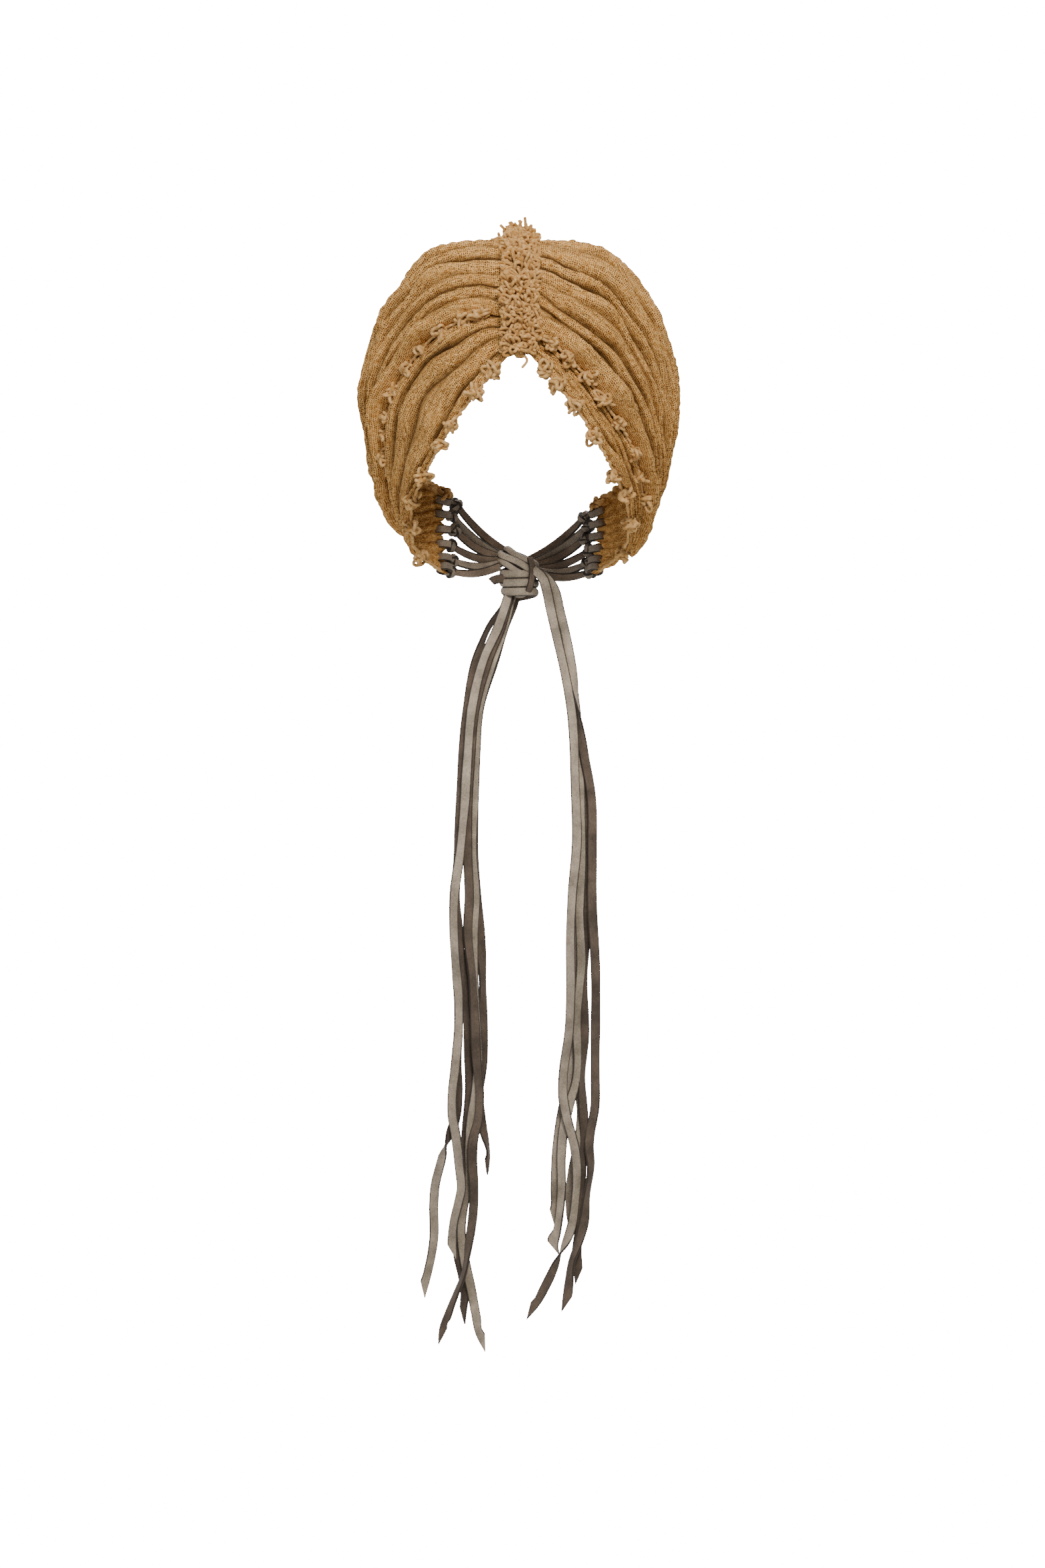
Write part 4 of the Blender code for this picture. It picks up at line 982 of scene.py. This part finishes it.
def ball(centre, size, turn=None):
    """A smooth lump of leather, where strands cross in the middle of a knot."""
    bm = bmesh.new()
    for name in ("across", "flesh"):
        bm.verts.layers.float.new(name)
    bmesh.ops.create_uvsphere(bm, u_segments=20, v_segments=12, radius=0.5)
    bmesh.ops.scale(bm, vec=Vector(size), verts=bm.verts)
    if turn:
        bmesh.ops.rotate(bm, cent=(0, 0, 0), matrix=turn, verts=bm.verts)
    bmesh.ops.translate(bm, vec=Vector(centre), verts=bm.verts)
    return mesh_of(bm, "lump")


def overhand(centre, size, seed):
    """An overhand knot drawn tight: one strap that goes three times round, under itself."""
    random = np.random.default_rng(seed)
    turn = np.linspace(0, 2 * math.pi, 64, endpoint=False)
    loop = np.stack((
        np.sin(turn) + 2 * np.sin(2 * turn), np.cos(turn) - 2 * np.cos(2 * turn), -1.5 * np.sin(3 * turn),
    ), axis=1)
    rolled = Matrix.Rotation(random.uniform(0, 2 * math.pi), 3, "Y")
    turned = rolled @ Matrix.Rotation(random.uniform(0.9, 1.9), 3, "X")
    loop = loop @ np.array(turned).T * size / 7.2
    strap = swept(centre + loop, loop, 0.5 * size, 0.0026, closed=True)
    return [strap, ball(centre, (size * 0.86, size * 0.8, size * 0.8))]


# The same leather as the hanging ends, its flesh side painted lighter: painted light on the runs in the
# shadow of the cap.
lace_leather_painted_lighter = leather("smooth grey-taupe leather", "#8E8171", "#79695A", "#2E2720")
for side in SIGN:
    for number, share in enumerate(EYELETS):
        edge, back, normal, way = eyelet_frame(side, share)
        outside = LACE_THICKNESS / 2 + 4 * CLEARANCE
        middle = edge + back * (EYELET_INSET - outside) / 2
        turn = np.linspace(0, 2 * math.pi, 32, endpoint=False)[:, None]
        squared = np.hstack((np.cos(turn), np.sin(turn)))
        squared = np.sign(squared) * np.abs(squared) ** 0.75 * 1.1
        ring = squared @ np.array((back * (EYELET_INSET + outside) / 2, normal * BIGHT_REACH * 0.66))
        bight = swept(middle + ring, ring, BIGHT_WIDTH * 1.2, LACE_THICKNESS * 1.15, closed=True)
        layer = (number - 2.5 + LACES_BEHIND[side]) * LACE_LAYER
        knot = edge - back * (outside + LACE_KNOT_SIZE * (0.42 + 0.45 * (number % 2)))
        knot = knot + np.array((0, number * LACE_LAYER * 0.45, 0))
        out, up = LACE_ENDS[side][number]
        far = np.array(KNOT_CENTRE) + np.array((SIGN[side] * out, layer, KNOT_HEIGHT * up))
        part_way = np.linspace(0, 1, 7)[:, None]
        run = knot + (far - knot) * part_way
        run[:, 1] = knot[1] + (far[1] - knot[1]) * np.minimum(part_way[:, 0] * 4, 1)
        run[:, 2] -= 0.003 * np.sin(part_way[:, 0] * math.pi)
        run = smooth_route(np.vstack((edge - back * outside, run)), RUN_POINTS)
        widths = smooth_between((0, 0.2, 0.5, 1), RUN_WIDTHS, np.linspace(0, 1, RUN_POINTS))
        facing = (0, -1, 0.45 if number % 2 else -0.3)
        strap = swept(run, facing, widths, LACE_THICKNESS * 1.5, flesh=float(number % 3 != 1))
        meshes = [bight, strap, *overhand(knot, LACE_KNOT_SIZE * 1.65, 3 * number + len(side))]
        name = f"laced_{side}_{number + 1}"
        piece(name, meshes, lace_leather_painted_lighter, "lace_leather", f"lace_{side}_{number + 1}")

# Knot behind the neck: all laces are wound into one coil of three stacked turns, with three diagonal
# turns over its top, one strap folded down at its right edge and a short stub sticking out at its left.
COIL_STRAP = (0.0061, 0.0050)
WRAP_STRAP = (0.0050, 0.0044)
COIL_POINTS = 150
TILT = Matrix.Rotation(math.radians(-6), 3, "Y")
WRAP_TILT = Matrix.Rotation(math.radians(28), 3, "Y")
centre = np.array(KNOT_CENTRE)
meshes = []
turn = np.linspace(0.5 * math.pi, 6.7 * math.pi, COIL_POINTS)
level = np.linspace(0.34, -0.38, COIL_POINTS) * KNOT_HEIGHT
girth = 0.84 + 0.17 * np.sin(math.pi * np.linspace(0.12, 0.93, COIL_POINTS))
round_profile = np.array([
    (-0.5 * math.cos(math.pi * step / 6), 0.5 * math.sin(math.pi * step / 6)) for step in range(12)
])
ring = np.stack((
    (KNOT_RADIUS - 0.0011) * girth * np.cos(turn), (KNOT_DEPTH / 2 - 0.0011) * girth * np.sin(turn), level,
), axis=1)
outward = np.stack((np.cos(turn), np.sin(turn), 0 * turn), axis=1) @ np.array(TILT).T
coil = swept(centre + ring @ np.array(TILT).T, outward, *COIL_STRAP, profile=round_profile)
meshes.append(coil)
top = centre + np.array((-0.0005, -0.001, KNOT_HEIGHT * 0.50))
turn = np.linspace(0, 2 * math.pi, 60, endpoint=False)
for shift, girth in ((-0.0042, 0.86), (0.0, 1.0), (0.0042, 0.84)):
    ring = np.stack((
        KNOT_RADIUS * 1.12 * girth * np.cos(turn), KNOT_DEPTH * 0.46 * girth * np.sin(turn),
        shift + 0.0005 * np.sin(3 * turn + shift * 900),
    ), axis=1) @ np.array(WRAP_TILT).T
    outward = np.stack((np.cos(turn), np.sin(turn), 0 * turn + shift * 90), axis=1) @ np.array(WRAP_TILT).T
    meshes.append(swept(top + ring, outward, *WRAP_STRAP, closed=True, profile=round_profile))
folded = smooth_route(((0.0064, 0.061, -0.0885), (0.0078, 0.0585, -0.094), (0.0078, 0.0582, -0.101),
                       (0.0066, 0.0588, -0.107), (0.0052, 0.061, -0.1105)), 30)
meshes.append(swept(folded, (0.35, -1, 0), 0.0042, 0.0018, flesh=1.0))
stub = smooth_route(((-0.0085, 0.0655, -0.1035), (-0.0125, 0.0640, -0.1022), (-0.0165, 0.0645, -0.1030),
                     (-0.0190, 0.066, -0.1045)), 24)
meshes.append(swept(stub, (0, -1, 0.2), 0.0060, 0.0022, flesh=1.0, slant=0.002))
meshes.append(ball(centre, (KNOT_RADIUS * 1.6, KNOT_DEPTH * 0.72, KNOT_HEIGHT * 0.82)))
meshes.append(ball(top, (KNOT_RADIUS * 2.1, KNOT_DEPTH * 0.84, KNOT_HEIGHT * 0.46), WRAP_TILT))
piece("neck_knot", meshes, lace_leather, "lace_leather", "lace_knot")
